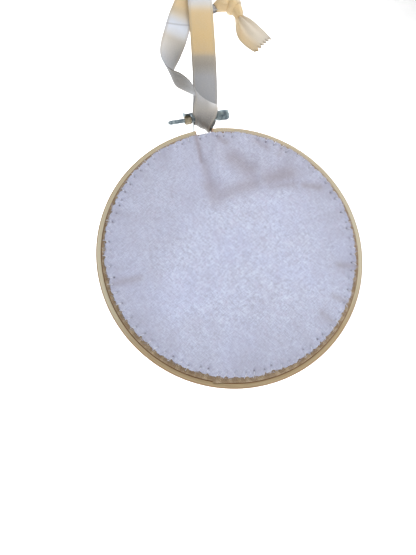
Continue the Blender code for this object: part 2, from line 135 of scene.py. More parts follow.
# Corner of a bracket past its foot, x and z in mm in the hoop's frame
LEFT_EAR = (
    ("foot", -5.6, 82.4),
    ("top of the slanting ear", -4.0, 93.2),
    ("lip", -4.7, 94.2),
    ("over the nut", -7.0, 94.0),
    ("past the nut", -8.8, 94.1),
    ("upturned tip", -10.0, 95.1),
)
RIGHT_EAR = (("foot", 5.6, 82.4), ("top", 5.6, 94.2))

# Ribbon
RIBBON_WIDTH = 16.4 * MM
RIBBON_WEIGHT = 0.35 * MM
BAND_START = 9.0 * MM
# Painted light of the band that runs into the knot: a little cool, and half in painted shade
BAND_LIGHT = (0.05, 0.5)
# Pressed crease across the left strand, drawn only as a line of painted shade; its mark is raised so that
# pieces without one read as far from it
CREASE_MARK = 1.0
CREASE_HEIGHT = -28.6 * MM
CREASE_SLANT = 0.36
TOOTH_DEPTH = 2.3 * MM
TOOTH_ROWS = 5

# Section of the ribbon's loop, centre x, y, z in mm, width in mm, turn away from +X and dip in degrees
RIBBON_SECTIONS = (
    ("end in the knot", 21.0, 10.2, -2.8, 4.4, 0, -90),
    ("outer band", 15.6, 9.4, -3.8, 5.4, 0, -88),
    ("outer gather", 9.8, 8.7, -6.2, 9.0, 0, -50),
    ("outer, behind the bend", 4.5, 7.3, -4.6, 14.6, 0, -14),
    ("outer, back of the bend", 3.4, 4.9, -0.1, 16.4, 0, 0),
    ("outer, top", 2.6, 0.0, 1.9, 16.4, 0, 0),
    ("outer, front of the bend", 2.1, -4.9, -0.1, 16.4, 0, 1),
    ("outer, front", 1.8, -6.9, -5.0, 16.4, 0, 2),
    ("right strand, top", 1.4, -7.0, -14.0, 16.4, 0, 2),
    ("right strand, high", 0.8, -3.4, -31.7, 16.4, 0, 3),
    ("right strand, middle", -0.1, 0.6, -51.2, 16.4, 0, 3),
    ("right strand, low", -0.9, 3.6, -64.5, 16.4, 0, 3),
    ("right strand, foot", -2.3, 4.9, -78.0, 16.4, 0, 2),
    ("behind the screw", -4.9, 5.0, -92.4, 16.4, 0, 0),
    ("narrowing, back", -6.2, 4.9, -96.4, 13.8, 0, 14),
    ("below, back", -7.2, 4.2, -98.9, 11.4, 0, 30),
    ("under, back", -7.5, 2.4, -100.0, 11.0, 0, 37),
    ("under the screw", -7.5, 0.0, -100.4, 10.8, 0, 38),
    ("under, front", -7.5, -2.4, -100.0, 11.0, 0, 37),
    ("below, front", -7.2, -4.2, -98.9, 11.4, 0, 30),
    ("narrowing, front", -6.2, -5.0, -96.4, 13.8, 0, 14),
    ("front of the screw", -5.3, -5.2, -92.8, 16.2, 0, 0),
    ("front, rising", -3.7, -5.2, -85.8, 16.4, 26, 3),
    ("foot of the curl", -5.9, -4.8, -81.7, 16.4, 50, 4),
    ("curl, right", -11.0, -4.4, -75.6, 16.4, 74, 0),
    ("curl, middle", -18.2, -3.8, -69.4, 16.4, 87, 0),
    ("curl, left", -22.2, -3.6, -66.4, 16.4, 82, -2),
    ("curl, turning up", -24.5, -3.6, -62.6, 16.4, 72, -1),
    ("curl, head", -25.2, -3.8, -56.3, 16.4, 59, 2),
    ("left strand, foot", -22.0, -4.2, -47.2, 16.4, 36, 8),
    ("left strand, low", -17.9, -4.5, -37.1, 16.4, 22, 14),
    ("left strand, middle", -13.4, -4.6, -25.1, 16.4, 14, 16),
    ("left strand, high", -7.6, -5.0, -12.5, 16.4, 5, 14),
    ("inner, front", -5.2, -5.5, -5.0, 16.4, 0, 6),
    ("inner, front of the bend", -3.6, -3.9, -1.1, 16.4, 0, 0),
    ("inner, top", -1.2, 0.0, 0.5, 16.4, 0, 0),
    ("inner, back of the bend", 1.6, 3.9, -1.1, 16.2, 0, 0),
    ("inner, behind the bend", 4.0, 5.3, -5.4, 14.0, 0, -16),
    ("inner gather", 9.6, 6.3, -6.4, 9.0, 0, -52),
    ("inner band", 15.6, 7.4, -3.8, 5.4, 0, -88),
    ("other end in the knot", 21.0, 8.4, -2.8, 4.4, 0, -90),
)

# Painted light along a strand: place, height in mm, how warm its painted light is from 0, painted cool
# daylight, through the ivory to 1, painted warm lamplight, and its painted shade from 0 to 1
RIGHT_STRAND_LIGHT = (
    ("behind the screw", -96.0, 0.1, 0.75),
    ("foot", -78.0, 0.0, 0.62),
    ("low", -62.0, 0.05, 0.58),
    ("middle", -54.0, 0.35, 0.7),
    ("below the warm part", -49.5, 0.5, 0.6),
    ("foot of the warm part", -46.5, 0.95, 0.2),
    ("warm part", -35.0, 1.0, 0.1),
    ("warm part, top", -20.0, 0.9, 0.05),
    ("below the bend", -16.0, 0.3, 0.0),
    ("over the bend", -10.0, 0.0, 0.0),
)
LEFT_STRAND_LIGHT = (
    ("under the screw", -98.0, 0.2, 0.9),
    ("front of the screw", -92.0, 0.25, 0.64),
    ("rising", -84.0, 0.1, 0.5),
    ("curl, right", -76.0, 0.0, 0.85),
    ("curl, middle", -71.0, 0.0, 1.0),
    ("curl, left", -66.0, 0.0, 1.0),
    ("curl, head", -59.0, 0.0, 0.5),
    ("foot", -47.0, 0.2, 0.46),
    ("low", -39.0, 0.3, 0.4),
    ("rising pale", -35.0, 0.1, 0.14),
    ("pale", -30.0, 0.0, 0.0),
    ("above the crease", -27.0, 0.0, 0.1),
    ("turning warm", -23.0, 0.25, 0.14),
    ("brown shade", -18.5, 0.75, 0.26),
    ("high", -14.0, 0.9, 0.06),
    ("bend", 1.0, 0.6, 0.05),
)

# Row of a tail, left edge x, y, z and right edge x, y, z in mm, and how far its folds stand out in mm
TAIL_ROWS = (
    ("in the knot", 28.9, 9.4, -8.0, 32.0, 9.4, -7.4, 1.1),
    ("neck", 28.6, 8.8, -13.2, 33.6, 8.6, -10.8, 1.1),
    ("flare", 27.9, 9.0, -20.0, 38.4, 7.4, -15.2, 0.8),
    ("fold", 28.6, 9.2, -27.4, 42.5, 6.4, -20.6, 0.4),
    ("blade", 32.0, 8.6, -34.0, 46.6, 6.0, -26.2, 0.15),
    ("pinked end", 38.7, 7.4, -41.4, 50.4, 5.2, -32.8, 0.0),
)
BACK_TAIL_SHIFT = Vector((1.2, 1.7, 0.4)) * MM

# Point on the knot's core, x, y, z and radius in mm
KNOT_CORE = (
    ("band end", 14.6, 8.5, -3.8, 3.0),
    ("first swell", 19.5, 8.6, -1.6, 4.4),
    ("crown", 25.6, 9.4, 0.2, 4.6),
    ("shoulder", 30.2, 9.2, -5.0, 4.4),
    ("neck", 31.2, 8.9, -12.2, 2.7),
)
WRAP_CENTRE = Vector((28.4, 9.4, -2.0)) * MM
WRAP_AXIS = Vector((0.62, 0.0, -0.78)).normalized()

# Fold of the felt from one end x, z to the other in the hoop's frame and its half width and height out in
# mm, and how dark its painted shade is from 0 to 1
FELT_FOLDS = (
    ("crease under the split", -6.4, 74.5, -6.8, 58.0, 1.6, -1.0, 0.95),
    ("crease fading down", -5.6, 58.0, -5.0, 42.0, 3.0, -0.6, 0.65),
    ("light side of the crease", 3.5, 66.0, 2.0, 48.0, 3.4, 0.8, 0.0),
    ("foot of the crease", -5.0, 42.0, -3.0, 32.0, 5.2, -0.7, 0.8),
    ("dimple right of the split", 8.0, 71.5, 11.0, 67.5, 2.2, -0.7, 0.75),
    ("hollow right of the split", 13.5, 57.0, 21.5, 48.0, 5.8, -0.9, 0.8),
    ("hollow running down", 20.0, 49.0, 22.0, 38.0, 5.0, -0.6, 0.6),
    ("hollow along the patch", -1.0, 33.5, 21.5, 38.0, 5.2, -0.9, 0.8),
    ("ridge down to the patch", 29.5, 66.0, 28.0, 38.0, 3.2, 0.8, 0.0),
    ("hollow at the upper right", 32.0, 39.5, 45.0, 40.5, 5.8, -1.0, 0.9),
    ("foot of that hollow", 32.0, 34.8, 46.0, 33.4, 3.4, -0.7, 0.7),
    ("ridge at the upper right", 34.0, 56.5, 52.0, 47.0, 3.2, 0.7, 0.0),
    ("dimple at the upper right", 42.3, 54.2, 45.9, 58.0, 2.2, -0.6, 0.5),
    ("dimple at the top", 30.0, 65.5, 35.3, 60.5, 2.2, -0.6, 0.5),
    ("hollow at the right", 52.5, 31.4, 62.0, 28.0, 2.4, -0.7, 0.8),
    ("pucker at the right", 72.0, -26.0, 60.0, -22.0, 1.8, -0.6, 0.6),
    ("ridge at the right", 71.0, -14.0, 60.0, -10.0, 2.4, 0.6, 0.0),
    ("pucker at the lower right", 60.0, -46.0, 52.0, -40.0, 2.2, -0.6, 0.6),
    ("pucker near the foot", 48.0, -56.0, 42.0, -48.0, 2.2, -0.5, 0.5),
    ("pucker at the foot", 31.0, -66.0, 26.0, -55.0, 2.2, 0.5, 0.0),
    ("pucker at the left", -72.0, -6.0, -58.0, -6.0, 2.6, -0.5, 0.55),
    ("loose middle", -10.0, -20.0, 20.0, -10.0, 34.0, -0.5, 0.0),
)

# Setting: the photograph's viewpoint, the floor, and each lamp's name, place, target (none is the part's
# middle), size, power and colour
CAMERA_PLACE = Vector((-49.48, -251.13, -246.72)) * MM
CAMERA_TURN = [math.radians(a) for a in (100.861, 7.431, -6.003)]
FLOOR_HALF, FLOOR_BEND, FLOOR_DROP, BACK_HEIGHT = 4.0, 0.8, 0.35, 4.0
LAMPS = (
    ("window", (0.95, -0.75, 0.75), None, (0.8, 0.8), 9.0, (0.92, 0.96, 1.0)),
    ("side_fill", (-0.9, -1.0, -0.1), None, (0.9, 0.9), 2.6, (0.90, 0.95, 1.0)),
    ("warm_lamp", (0.10, -0.22, -0.02), (0.01, 0.0, -0.02), (0.08, 0.08), 0.05, (1.0, 0.70, 0.36)),
    ("backdrop_lamp", (0.0, 1.3, 2.2), (0.0, 3.6, 0.2), (4.0, 1.0), 180.0, (1.0, 1.0, 1.0)),
    ("backdrop_top_lamp", (0.0, 1.6, 3.6), (0.0, 4.0, 3.2), (4.0, 0.8), 110.0, (1.0, 1.0, 1.0)),
)


# Sums and shapes


def clamp(value, low=0.0, high=1.0):
    return min(high, max(low, value))


def bell(away, width):
    """1 in the middle, falling off smoothly over this width."""
    return math.exp(-((away / width) ** 2))


def rough(x, y, z):
    """A smooth random number from -1 to 1."""
    return noise.noise(Vector((x, y, z)))


def smooth_rows(table, steps):
    """Rows of numbers on a smooth curve through a table's rows, without the names in its first column."""
    rows = [row[1:] for row in table]
    out = []
    for i in range(len(rows) - 1):
        p0, p1, p2, p3 = rows[max(0, i - 1)], rows[i], rows[i + 1], rows[min(len(rows) - 1, i + 2)]
        for s in range(steps):
            t = s / steps
            blend = (
                -0.5 * t + t * t - 0.5 * t**3,
                1 - 2.5 * t * t + 1.5 * t**3,
                0.5 * t + 2 * t * t - 1.5 * t**3,
                -0.5 * t * t + 0.5 * t**3,
            )
            out.append([sum(w * v for w, v in zip(blend, column)) for column in zip(p0, p1, p2, p3)])
    return out + [list(rows[-1])]


def heading(path, i):
    """Direction of a path at one of its points."""
    return (path[min(i + 1, len(path) - 1)] - path[max(i - 1, 0)]).normalized()


def from_hoop(x, y, z):
    """World place of a point of the hoop's own frame."""
    return HOOP_TURN @ Vector((x, y, z))


def on_hoop(angle, radius, y):
    """World place of a point at an angle round the hoop, from the split towards +X."""
    return from_hoop(radius * math.sin(angle), y, radius * math.cos(angle))


def on_screw(x, radius, angle):
    """World place of a point about the clamp screw's axis."""
    return from_hoop(x, radius * math.sin(angle), SCREW_HEIGHT + radius * math.cos(angle))


def put_in_scene(name, data):
    made = bpy.data.objects.new(name, data)
    bpy.context.scene.collection.objects.link(made)
    return made


def flat_at(spots, a, b):
    """Flat coordinate of a grid corner; past the last row or column it runs on and doesn't jump back."""
    i, j = a % len(spots), b % len(spots[0])
    if a >= len(spots):
        (_, last), (_, before) = spots[-1][j], spots[-2][j]
    elif b >= len(spots[0]):
        (_, last), (_, before) = spots[i][-1], spots[i][-2]
    else:
        return spots[i][j][1]
    return 2 * last[0] - before[0], 2 * last[1] - before[1]


class Sheet:
    """A mesh in the making: a flat coordinate in metres at each corner and named marks on each vertex."""

    def __init__(self, *marks):
        self.bm = bmesh.new()
        self.flat = self.bm.loops.layers.uv.new("flat")
        self.marks = [self.bm.verts.layers.float.new(name) for name in marks]

    def paint(self, vert, *amounts):
        """Sets a vertex's marks, in the order of their names."""
        for layer, amount in zip(self.marks, amounts):
            vert[layer] = amount

    def rows(self, spots, closed_across=False, closed_along=False, ends=False):
        """Adds a grid of quads from rows of (point, flat coordinate), with both ends of a tube closed."""
        verts = [[self.bm.verts.new(place) for place, _ in row] for row in spots]
        deep, wide = len(verts), len(verts[0])
        for i in range(deep if closed_along else deep - 1):
            for j in range(wide if closed_across else wide - 1):
                corners = ((i, j), (i, j + 1), (i + 1, j + 1), (i + 1, j))
                face = self.bm.faces.new([verts[a % deep][b % wide] for a, b in corners])
                for loop, (a, b) in zip(face.loops, corners):
                    loop[self.flat].uv = flat_at(spots, a, b)
        if ends:
            self.bm.faces.new(verts[0])
            self.bm.faces.new(verts[-1][::-1])
        return verts

    def fan(self, verts, flats, centre, middle):
        """Closes a round row of vertices onto one point."""
        pole = self.bm.verts.new(centre)
        for k in range(len(verts)):
            after = (k + 1) % len(verts)
            face = self.bm.faces.new((pole, verts[k], verts[after]))
            for loop, flat in zip(face.loops, (middle, flats[k], flats[after])):
                loop[self.flat].uv = flat

    def finish(self, name, finish, sharp, weight=0.0, offset=0.0):
        """Turns the sheet into an object, and thickens one that has a weight of cloth."""
        bmesh.ops.recalc_face_normals(self.bm, faces=self.bm.faces)
        mesh = bpy.data.meshes.new(name)
        self.bm.to_mesh(mesh)
        self.bm.free()
        mesh.shade_smooth()
        mesh.set_sharp_from_angle(angle=math.radians(sharp))
        mesh.materials.append(finish)
        piece = put_in_scene(name, mesh)
        if weight:
            wall = piece.modifiers.new("weight", "SOLIDIFY")
            wall.thickness, wall.offset = weight, offset
        return piece


def tube(sheet, path, radius_at, sides, shape=None):
    """Adds a closed tube along a path, its flat running round and along; shape(i, angle) scales the radius."""
    side, run_length, spots = Vector((0.0, 1.0, 0.0)), 0.0, []
    for i, point in enumerate(path):
        run = heading(path, i)
        side = (side - run * side.dot(run)).normalized()
        up = run.cross(side)
        if i:
            run_length += (point - path[i - 1]).length
        row = []
        for k in range(sides):
            angle = TAU * k / sides
            reach = radius_at(i) * (shape(i, angle) if shape else 1.0)
            place = point + (side * math.cos(angle) + up * math.sin(angle)) * reach
            row.append((place, (radius_at(i) * angle, run_length)))
        spots.append(row)
    sheet.rows(spots, closed_across=True, ends=True)


def turned(sheet, profile, sides):
    """Adds a closed solid turned about the screw's axis from (x, radius) points."""
    sheet.rows([[(on_screw(x, r, TAU * k / sides), (r * TAU * k / sides, x)) for k in range(sides)]
                for x, r in profile], closed_across=True, ends=True)


# Materials


class Tree:
    """A node tree built node by node; an input takes a socket or a plain value."""

    def node(self, kind, inputs, **settings):
        made = self.tree.nodes.new(kind)
        for key, value in settings.items():
            setattr(made, key, value)
        for key, value in inputs.items():
            self.put(value, made.inputs[key])
        return made.outputs

    def put(self, value, socket):
        """Links a socket, or sets a number, a vector or a colour."""
        if isinstance(value, bpy.types.NodeSocket):
            self.tree.links.new(value, socket)
        elif socket.type == "RGBA" and len(value) == 3:
            socket.default_value = (*value, 1.0)
        else:
            socket.default_value = value


class Finish(Tree):
    """A material whose colour is built up in layers."""

    def __init__(self, name, colour, roughness, metallic=0.0):
        self.material = bpy.data.materials.new(name)
        self.material.use_nodes = True
        self.material.diffuse_color = (*colour, 1.0)
        self.tree = self.material.node_tree
        self.shader = self.tree.nodes["Principled BSDF"]
        self.use(Base_Color=colour, Roughness=roughness, Metallic=metallic)

    def use(self, **inputs):
        """Gives the shader its inputs, an underscore standing for a space, and returns the material."""
        for name, value in inputs.items():
            self.put(value, self.shader.inputs[name.replace("_", " ")])
        return self.material

    def math(self, operation, *values):
        return self.node("ShaderNodeMath", dict(enumerate(values)), operation=operation)[0]

    def place(self, scale=(1, 1, 1), turn=(0, 0, 0), shift=(0, 0, 0)):
        """Object coordinates, turned, scaled and moved."""
        return self.mapped(self.node("ShaderNodeTexCoord", {})["Object"], scale, turn, shift)

    def flat(self, scale=(1, 1, 1), turn=(0, 0, 0), shift=(0, 0, 0)):
        """The piece's flat coordinates in metres, turned, scaled and moved."""
        return self.mapped(self.node("ShaderNodeUVMap", {}, uv_map="flat")[0], scale, turn, shift)

    def mapped(self, source, scale, turn, shift):
        """Turns coordinates and then scales them, so that a long grain can run at a slant."""
        for inputs in ({"Rotation": turn}, {"Location": shift, "Scale": scale}):
            source = self.node("ShaderNodeMapping", {"Vector": source, **inputs})[0]
        return source

    def split(self, vector):
        return self.node("ShaderNodeSeparateXYZ", {0: vector})

    def cloud(self, vector, scale, detail=3.0, roughness=0.55):
        """Cloudy noise from 0 to 1."""
        inputs = {"Vector": vector, "Scale": scale, "Detail": detail, "Roughness": roughness}
        return self.node("ShaderNodeTexNoise", inputs)["Fac"]

    def wave(self, coordinate, pitch, sharpness=1.0):
        """A smooth ridge every pitch along a coordinate, from 0 to 1."""
        turns = self.math("MULTIPLY", coordinate, TAU / pitch)
        return self.math("POWER", self.math("MULTIPLY_ADD", self.math("SINE", turns), 0.5, 0.5), sharpness)

    def ramp(self, value, *stops):
        """Colours between stops of (place, colour)."""
        made = self.tree.nodes.new("ShaderNodeValToRGB")
        self.put(value, made.inputs[0])
        marks = made.color_ramp.elements
        while len(marks) < len(stops):
            marks.new(1.0)
        for mark, (place, colour) in zip(marks, stops):
            mark.position, mark.color = place, (*colour, 1.0)
        return made.outputs[0]

    def level(self, value, low, high, out_low=0.0, out_high=1.0):
        """Maps low to high onto another range, smoothly and clamped."""
        inputs = dict(enumerate((value, low, high, out_low, out_high)))
        return self.node("ShaderNodeMapRange", inputs, interpolation_type="SMOOTHSTEP")[0]

    def layers(self, colour, *rows):
        """Lays colours over the first. A row is a name, a share and a colour; where four numbers stand
        between, the share is a level: low, high, share at low and share at high."""
        for _, share, *numbers, over in rows:
            if numbers:
                share = self.level(share, *numbers)
            colour = self.node("ShaderNodeMix", {0: share, 6: colour, 7: over}, data_type="RGBA")[2]
        return colour

    def mark(self, name, share=None):
        """A mark of the piece's vertices, or a share of it."""
        amount = self.node("ShaderNodeAttribute", {}, attribute_name=name)["Fac"]
        return self.math("MULTIPLY", amount, share) if share else amount

    def away_from(self, value, middle):
        """How far a value is from a middle one."""
        return self.math("ABSOLUTE", self.math("SUBTRACT", value, middle))

    def bump(self, height, distance, strength, under=None):
        inputs = {"Height": height, "Distance": distance, "Strength": strength}
        return self.node("ShaderNodeBump", {**inputs, "Normal": under} if under else inputs)[0]


def bamboo_finish():
    """Clear-coated bamboo strip: fibres along the hoop, painted light on its upper part, darker skins that are
    partly painted shade on the rounded edges, and a thin glue line.
    """
    made = Finish("bamboo", (0.5, 0.38, 0.22), 0.5)
    fibres = made.cloud(made.flat((60, 5200, 1)), 1.0, 2.0, 0.6)
    bundles = made.cloud(made.flat((35, 1700, 1), shift=(3, 7, 0)), 1.0, 3.0)
    drift = made.cloud(made.place(), 45.0, 2.0)
    x, _, z = made.split(made.place(shift=tuple(-HOOP_CENTRE)))
    radius = made.math("SQRT", made.math("ADD", made.math("MULTIPLY", x, x), made.math("MULTIPLY", z, z)))
    # Painted light: the hoop's upper part is painted lighter than its lower part, a little less so at the very
    # top
    painted_top_light = made.math("SUBTRACT", made.level(z, -60 * MM, -15 * MM, 0.0, 0.72),
                         made.level(z, 10 * MM, 50 * MM, 0.0, 0.28))
    from_glue = made.away_from(radius, HOOP_RADIUS - 0.5 * HOOP_WALL)
    pale, mid, brown = (0.56, 0.435, 0.262), (0.47, 0.352, 0.198), (0.37, 0.26, 0.136)
    outside, inside = HOOP_RADIUS, HOOP_RADIUS - HOOP_WALL
    colour = made.layers(
        made.ramp(bundles, (0.28, brown), (0.5, mid), (0.72, pale)),
        ("dark fibres", fibres, 0.56, 0.74, 0.0, 0.45, (0.27, 0.165, 0.075)),
        ("darker stretches", drift, 0.4, 0.7, 0.0, 0.35, (0.44, 0.30, 0.15)),
        ("painted light on the upper part", painted_top_light, (0.74, 0.69, 0.52)),
        # The skins at both edges are partly the strip's own darker skin and partly painted shade on its
        # rounded edges
        ("outer skin and edge shade", radius, outside - 0.95 * MM, outside - 0.35 * MM, 0.0, 0.8, (0.31, 0.155, 0.050)),
        ("inner skin and edge shade", radius, inside + 0.85 * MM, inside + 0.3 * MM, 0.0, 0.92, (0.24, 0.115, 0.04)),
        ("glue line", from_glue, 0.0, 0.16 * MM, 0.22, 0.0, (0.30, 0.17, 0.07)),
        ("cut ends", made.mark("cut_end", 0.75), (0.45, 0.20, 0.065)),
    )
    grain = made.math("ADD", fibres, made.math("MULTIPLY", bundles, 0.8))
    return made.use(Base_Color=colour, Roughness=made.level(bundles, 0.2, 0.8, 0.42, 0.6),
                    Normal=made.bump(grain, 0.05 * MM, 0.6), Coat_Weight=0.25, Coat_Roughness=0.3)


def cotton_finish():
    """Natural plain-woven cotton, its threads running straight over the cut cloth, with painted highlights on
    the crests of its tucks and painted shade between them.
    """
    made = Finish("cotton_cloth", (0.50, 0.40, 0.28), 0.85)
    u, v, _ = made.split(made.flat())
    column, line = (made.math("SINE", made.math("MULTIPLY", c, math.pi / WEAVE_PITCH)) for c in (u, v))
    over = made.math("GREATER_THAN", made.math("MULTIPLY", column, line), 0.0)
    under = made.math("SUBTRACT", 1.0, over)
    weave = made.math("ADD", made.math("MULTIPLY", over, made.wave(u, WEAVE_PITCH)),
                      made.math("MULTIPLY", under, made.wave(v, WEAVE_PITCH)))
    slub = made.cloud(made.flat((260, 2600, 1)), 1.0, 3.0)
    slub_across = made.cloud(made.flat((2600, 260, 1), shift=(5, 2, 0)), 1.0, 3.0)
    drift, crest = made.cloud(made.place(), 60.0, 3.0), made.mark("crest")
    colour = made.layers(
        made.ramp(drift, (0.3, (0.36, 0.245, 0.135)), (0.7, (0.47, 0.345, 0.21))),
        ("pale slubs", made.math("ADD", slub, slub_across), 0.9, 1.25, 0.0, 0.5, (0.62, 0.54, 0.42)),
        # Painted highlight on the crests of the tucks and painted shade between them
        ("painted highlight on the crests", crest, 0.4, 1.0, 0.0, 0.2, (0.62, 0.52, 0.39)),
        ("painted shade between the tucks", crest, 0.3, 0.0, 0.0, 0.5, (0.24, 0.145, 0.075)),
        ("gaps in the weave", weave, 0.0, 0.6, 0.45, 0.0, (0.22, 0.15, 0.09)),
    )
    normal = made.bump(weave, 0.12 * MM, 0.8, made.bump(slub, 0.15 * MM, 0.5))
    return made.use(Base_Color=colour, Normal=normal, Sheen_Weight=0.15)


def felt_finish():
    """Pale craft felt: matted fibres and soft blotches, with painted shade in its folds, round its paler patch
    and in the needle holes, and some dirt near the rim.
    """
    made = Finish("felt", (0.55, 0.56, 0.70), 0.95)
    streaks = made.cloud(made.place((1400, 1400, 380), (0.0, math.radians(40), 0.0)), 1.0, 4.0, 0.65)
    crossing = made.place((1300, 1300, 360), (0.0, math.radians(-55), 0.0), (4, 1, 9))
    crossing = made.cloud(crossing, 1.0, 4.0, 0.65)
    grit = made.cloud(made.place(), 2600.0, 3.0, 0.7)
    blotch = made.cloud(made.place((1, 1, 0.7)), 110.0, 4.0, 0.6)
    broad = made.cloud(made.place(shift=(2, 0, 5)), 28.0, 2.0)
    pink = made.cloud(made.place(shift=(7, 3, 1)), 330.0, 2.0)
    both = made.math("MULTIPLY_ADD", streaks, 0.5, made.math("MULTIPLY", crossing, 0.5))
    mat = made.math("MULTIPLY_ADD", grit, 0.35, both)
    shade, lilac, pale = (0.45, 0.465, 0.60), (0.585, 0.62, 0.80), (0.74, 0.80, 0.94)
    colour = made.layers(
        made.ramp(mat, (0.56, shade), (0.675, lilac), (0.79, pale)),
        ("pink fibres", pink, 0.5, 0.72, 0.0, 0.2, (0.60, 0.53, 0.70)),
        ("grey blotches", blotch, 0.35, 0.62, 0.2, 0.0, (0.46, 0.43, 0.53)),
        ("bluer parts", broad, 0.4, 0.7, 0.0, 0.25, (0.56, 0.60, 0.86)),
        # Painted shade round the paler patch and towards the foot, with some dirt darkening near the rim
        ("painted shade and dirt", made.mark("worn", 0.6), (0.36, 0.355, 0.45)),
        # Painted shade in the folds
        ("hollows", made.mark("hollow", 0.68), (0.33, 0.285, 0.33)),
        ("pale cut edge", made.mark("fringe"), 0.2, 1.0, 0.0, 0.7, (0.76, 0.80, 0.95)),
        # Painted shade in the needle holes
        ("painted shade in the needle holes", made.mark("needle_pit"), (0.085, 0.07, 0.085)),
    )
    fine = made.bump(made.math("ADD", streaks, crossing), 0.28 * MM, 0.5)
    return made.use(Base_Color=colour, Normal=made.bump(blotch, 1.2 * MM, 0.5, fine),
                    Sheen_Weight=0.3, Sheen_Roughness=0.6)


def thread_finish():
    """White two-ply sewing thread."""
    made = Finish("sewing_thread", (0.78, 0.79, 0.86), 0.7)
    ply = made.cloud(made.place(), 5200.0, 2.0)
    colour = made.ramp(ply, (0.3, (0.60, 0.60, 0.68)), (0.7, (0.84, 0.85, 0.91)))
    return made.use(Base_Color=colour, Normal=made.bump(ply, 0.08 * MM, 0.5), Sheen_Weight=0.2)


def ribbon_finish():
    """Ivory grosgrain: fine ribs across and a plain selvage down each side, with painted warm and cool light
    and painted shade along it.
    """
    made = Finish("grosgrain", (0.72, 0.66, 0.55), 0.5)
    _, v, _ = made.split(made.flat())
    ribs = made.wave(v, 0.62 * MM, 0.8)
    yarn = made.cloud(made.flat((900, 3200, 1)), 1.0, 2.0)
    drift = made.cloud(made.flat((90, 60, 1)), 1.0, 3.0)
    from_crease = made.away_from(made.mark("from_crease"), CREASE_MARK)
    # Painted light: the tint runs from painted cool daylight through the ivory to painted warm lamplight, and
    # the shade mark lays painted shade over it
    cool, ivory, warm = (0.72, 0.78, 0.90), (0.78, 0.71, 0.60), (0.80, 0.57, 0.26)
    colour = made.layers(
        made.ramp(made.mark("painted_light_tint"), (0.0, cool), (0.35, ivory), (1.0, warm)),
        ("painted shade", made.mark("painted_shade"), (0.125, 0.12, 0.118)),
        ("between the ribs", ribs, 0.0, 0.8, 0.16, 0.0, (0.38, 0.31, 0.22)),
        ("pale yarn", yarn, 0.45, 0.75, 0.0, 0.2, (0.86, 0.80, 0.68)),
        ("uneven tint", drift, 0.4, 0.7, 0.0, 0.12, (0.50, 0.45, 0.38)),
        ("selvages", made.mark("selvage", 0.35), (0.44, 0.38, 0.30)),
        # Painted shade along the pressed crease
        ("crease", from_crease, 0.1 * MM, 1.1 * MM, 0.55, 0.0, (0.36, 0.36, 0.40)),
    )
    cords = made.math("ADD", ribs, made.math("MULTIPLY", yarn, 0.4))
    return made.use(Base_Color=colour, Roughness=made.level(drift, 0.2, 0.8, 0.42, 0.58),
                    Normal=made.bump(cords, 0.1 * MM, 0.7), Sheen_Weight=0.2, Anisotropic=0.3)


def metal_finish(name, dark, pale, stain, roughness):
    """Plated metal with faint drawing lines and dull patches."""
    made = Finish(name, pale, roughness, 1.0)
    drawn = made.cloud(made.place((300, 2400, 2400)), 1.0, 3.0)
    dull = made.cloud(made.place(), 420.0, 4.0)
    colour = made.layers(dark, ("bright parts", dull, 0.35, 0.65, 0.0, 1.0, pale),
                         ("drawing lines", drawn, 0.55, 0.8, 0.0, 0.5, stain))
    worn = made.level(dull, 0.3, 0.7, roughness + 0.14, roughness - 0.06)
    return made.use(Base_Color=colour, Roughness=worn,
                    Normal=made.bump(made.math("ADD", drawn, dull), 0.03 * MM, 0.5))


# Hoops


def scarf_cut(angle):
    """Depth by which the wall is pared away inside, just past the end of its inner layer."""
    along = (angle - SCARF_ANGLE) / SCARF_LENGTH
    return SCARF_STEP * (1.0 + along) if -1.0 < along < 0.0 else 0.0


def hoop_section(cut):
    """Section of the outer hoop as (radius, y), with rounded edges; the cut pares its back inner edge."""
    inner, outer, half, r = HOOP_RADIUS - HOOP_WALL, HOOP_RADIUS, HOOP_DEPTH / 2, HOOP_ROUNDING
    points = []
    for x, y, start in ((outer - r, -half + r, -90), (outer - r, half - r, 0), (inner + r, half - r, 90),
                        (inner + cut + r, -half + r, 180)):
        if start == 180:
            points.append((inner, 0.0))
        for step in range(5):
            turn = math.radians(start + 90 * step / 4)
            points.append((x + r * math.cos(turn), y + r * math.sin(turn)))
    return points


def outer_hoop(finish):
    """Bent strip from one side of the split round to the other, with a step at its scarf joint."""
    first = math.asin(HOOP_SPLIT / 2 / HOOP_RADIUS)
    last = TAU - first
    angles = [first + (last - first) * k / 420 for k in range(421)]
    angles += [SCARF_ANGLE - 0.0005, SCARF_ANGLE + 0.0005, first + 0.0006, last - 0.0006]
    sheet = Sheet("cut_end")
    verts = sheet.rows([
        [(on_hoop(angle, r, y), (HOOP_RADIUS * angle, 0.0011 * k))
         for k, (r, y) in enumerate(hoop_section(scarf_cut(angle)))]
        for angle in sorted(angles)], closed_across=True, ends=True)
    for row in verts[:2] + verts[-2:]:
        for vert in row:
            sheet.paint(vert, 1.0)
    return sheet.finish("outer_hoop_bamboo", finish, 35.0)


# Cloth and felt


def tuck(angle):
    """How far a gathered tuck stands out at this angle, from 0 to 1, uneven round the hoop."""
    uneven = 1.6 * math.sin(3 * angle + 0.4) + 1.2 * math.sin(7 * angle + 1.0) + 1.5 * math.sin(17 * angle)
    size = clamp(0.55 + 0.9 * rough(11 * math.cos(angle), 11 * math.sin(angle), 3.0), 0.1)
    return size * max(0.0, math.cos(TUCK_COUNT * angle + uneven)) ** 1.5


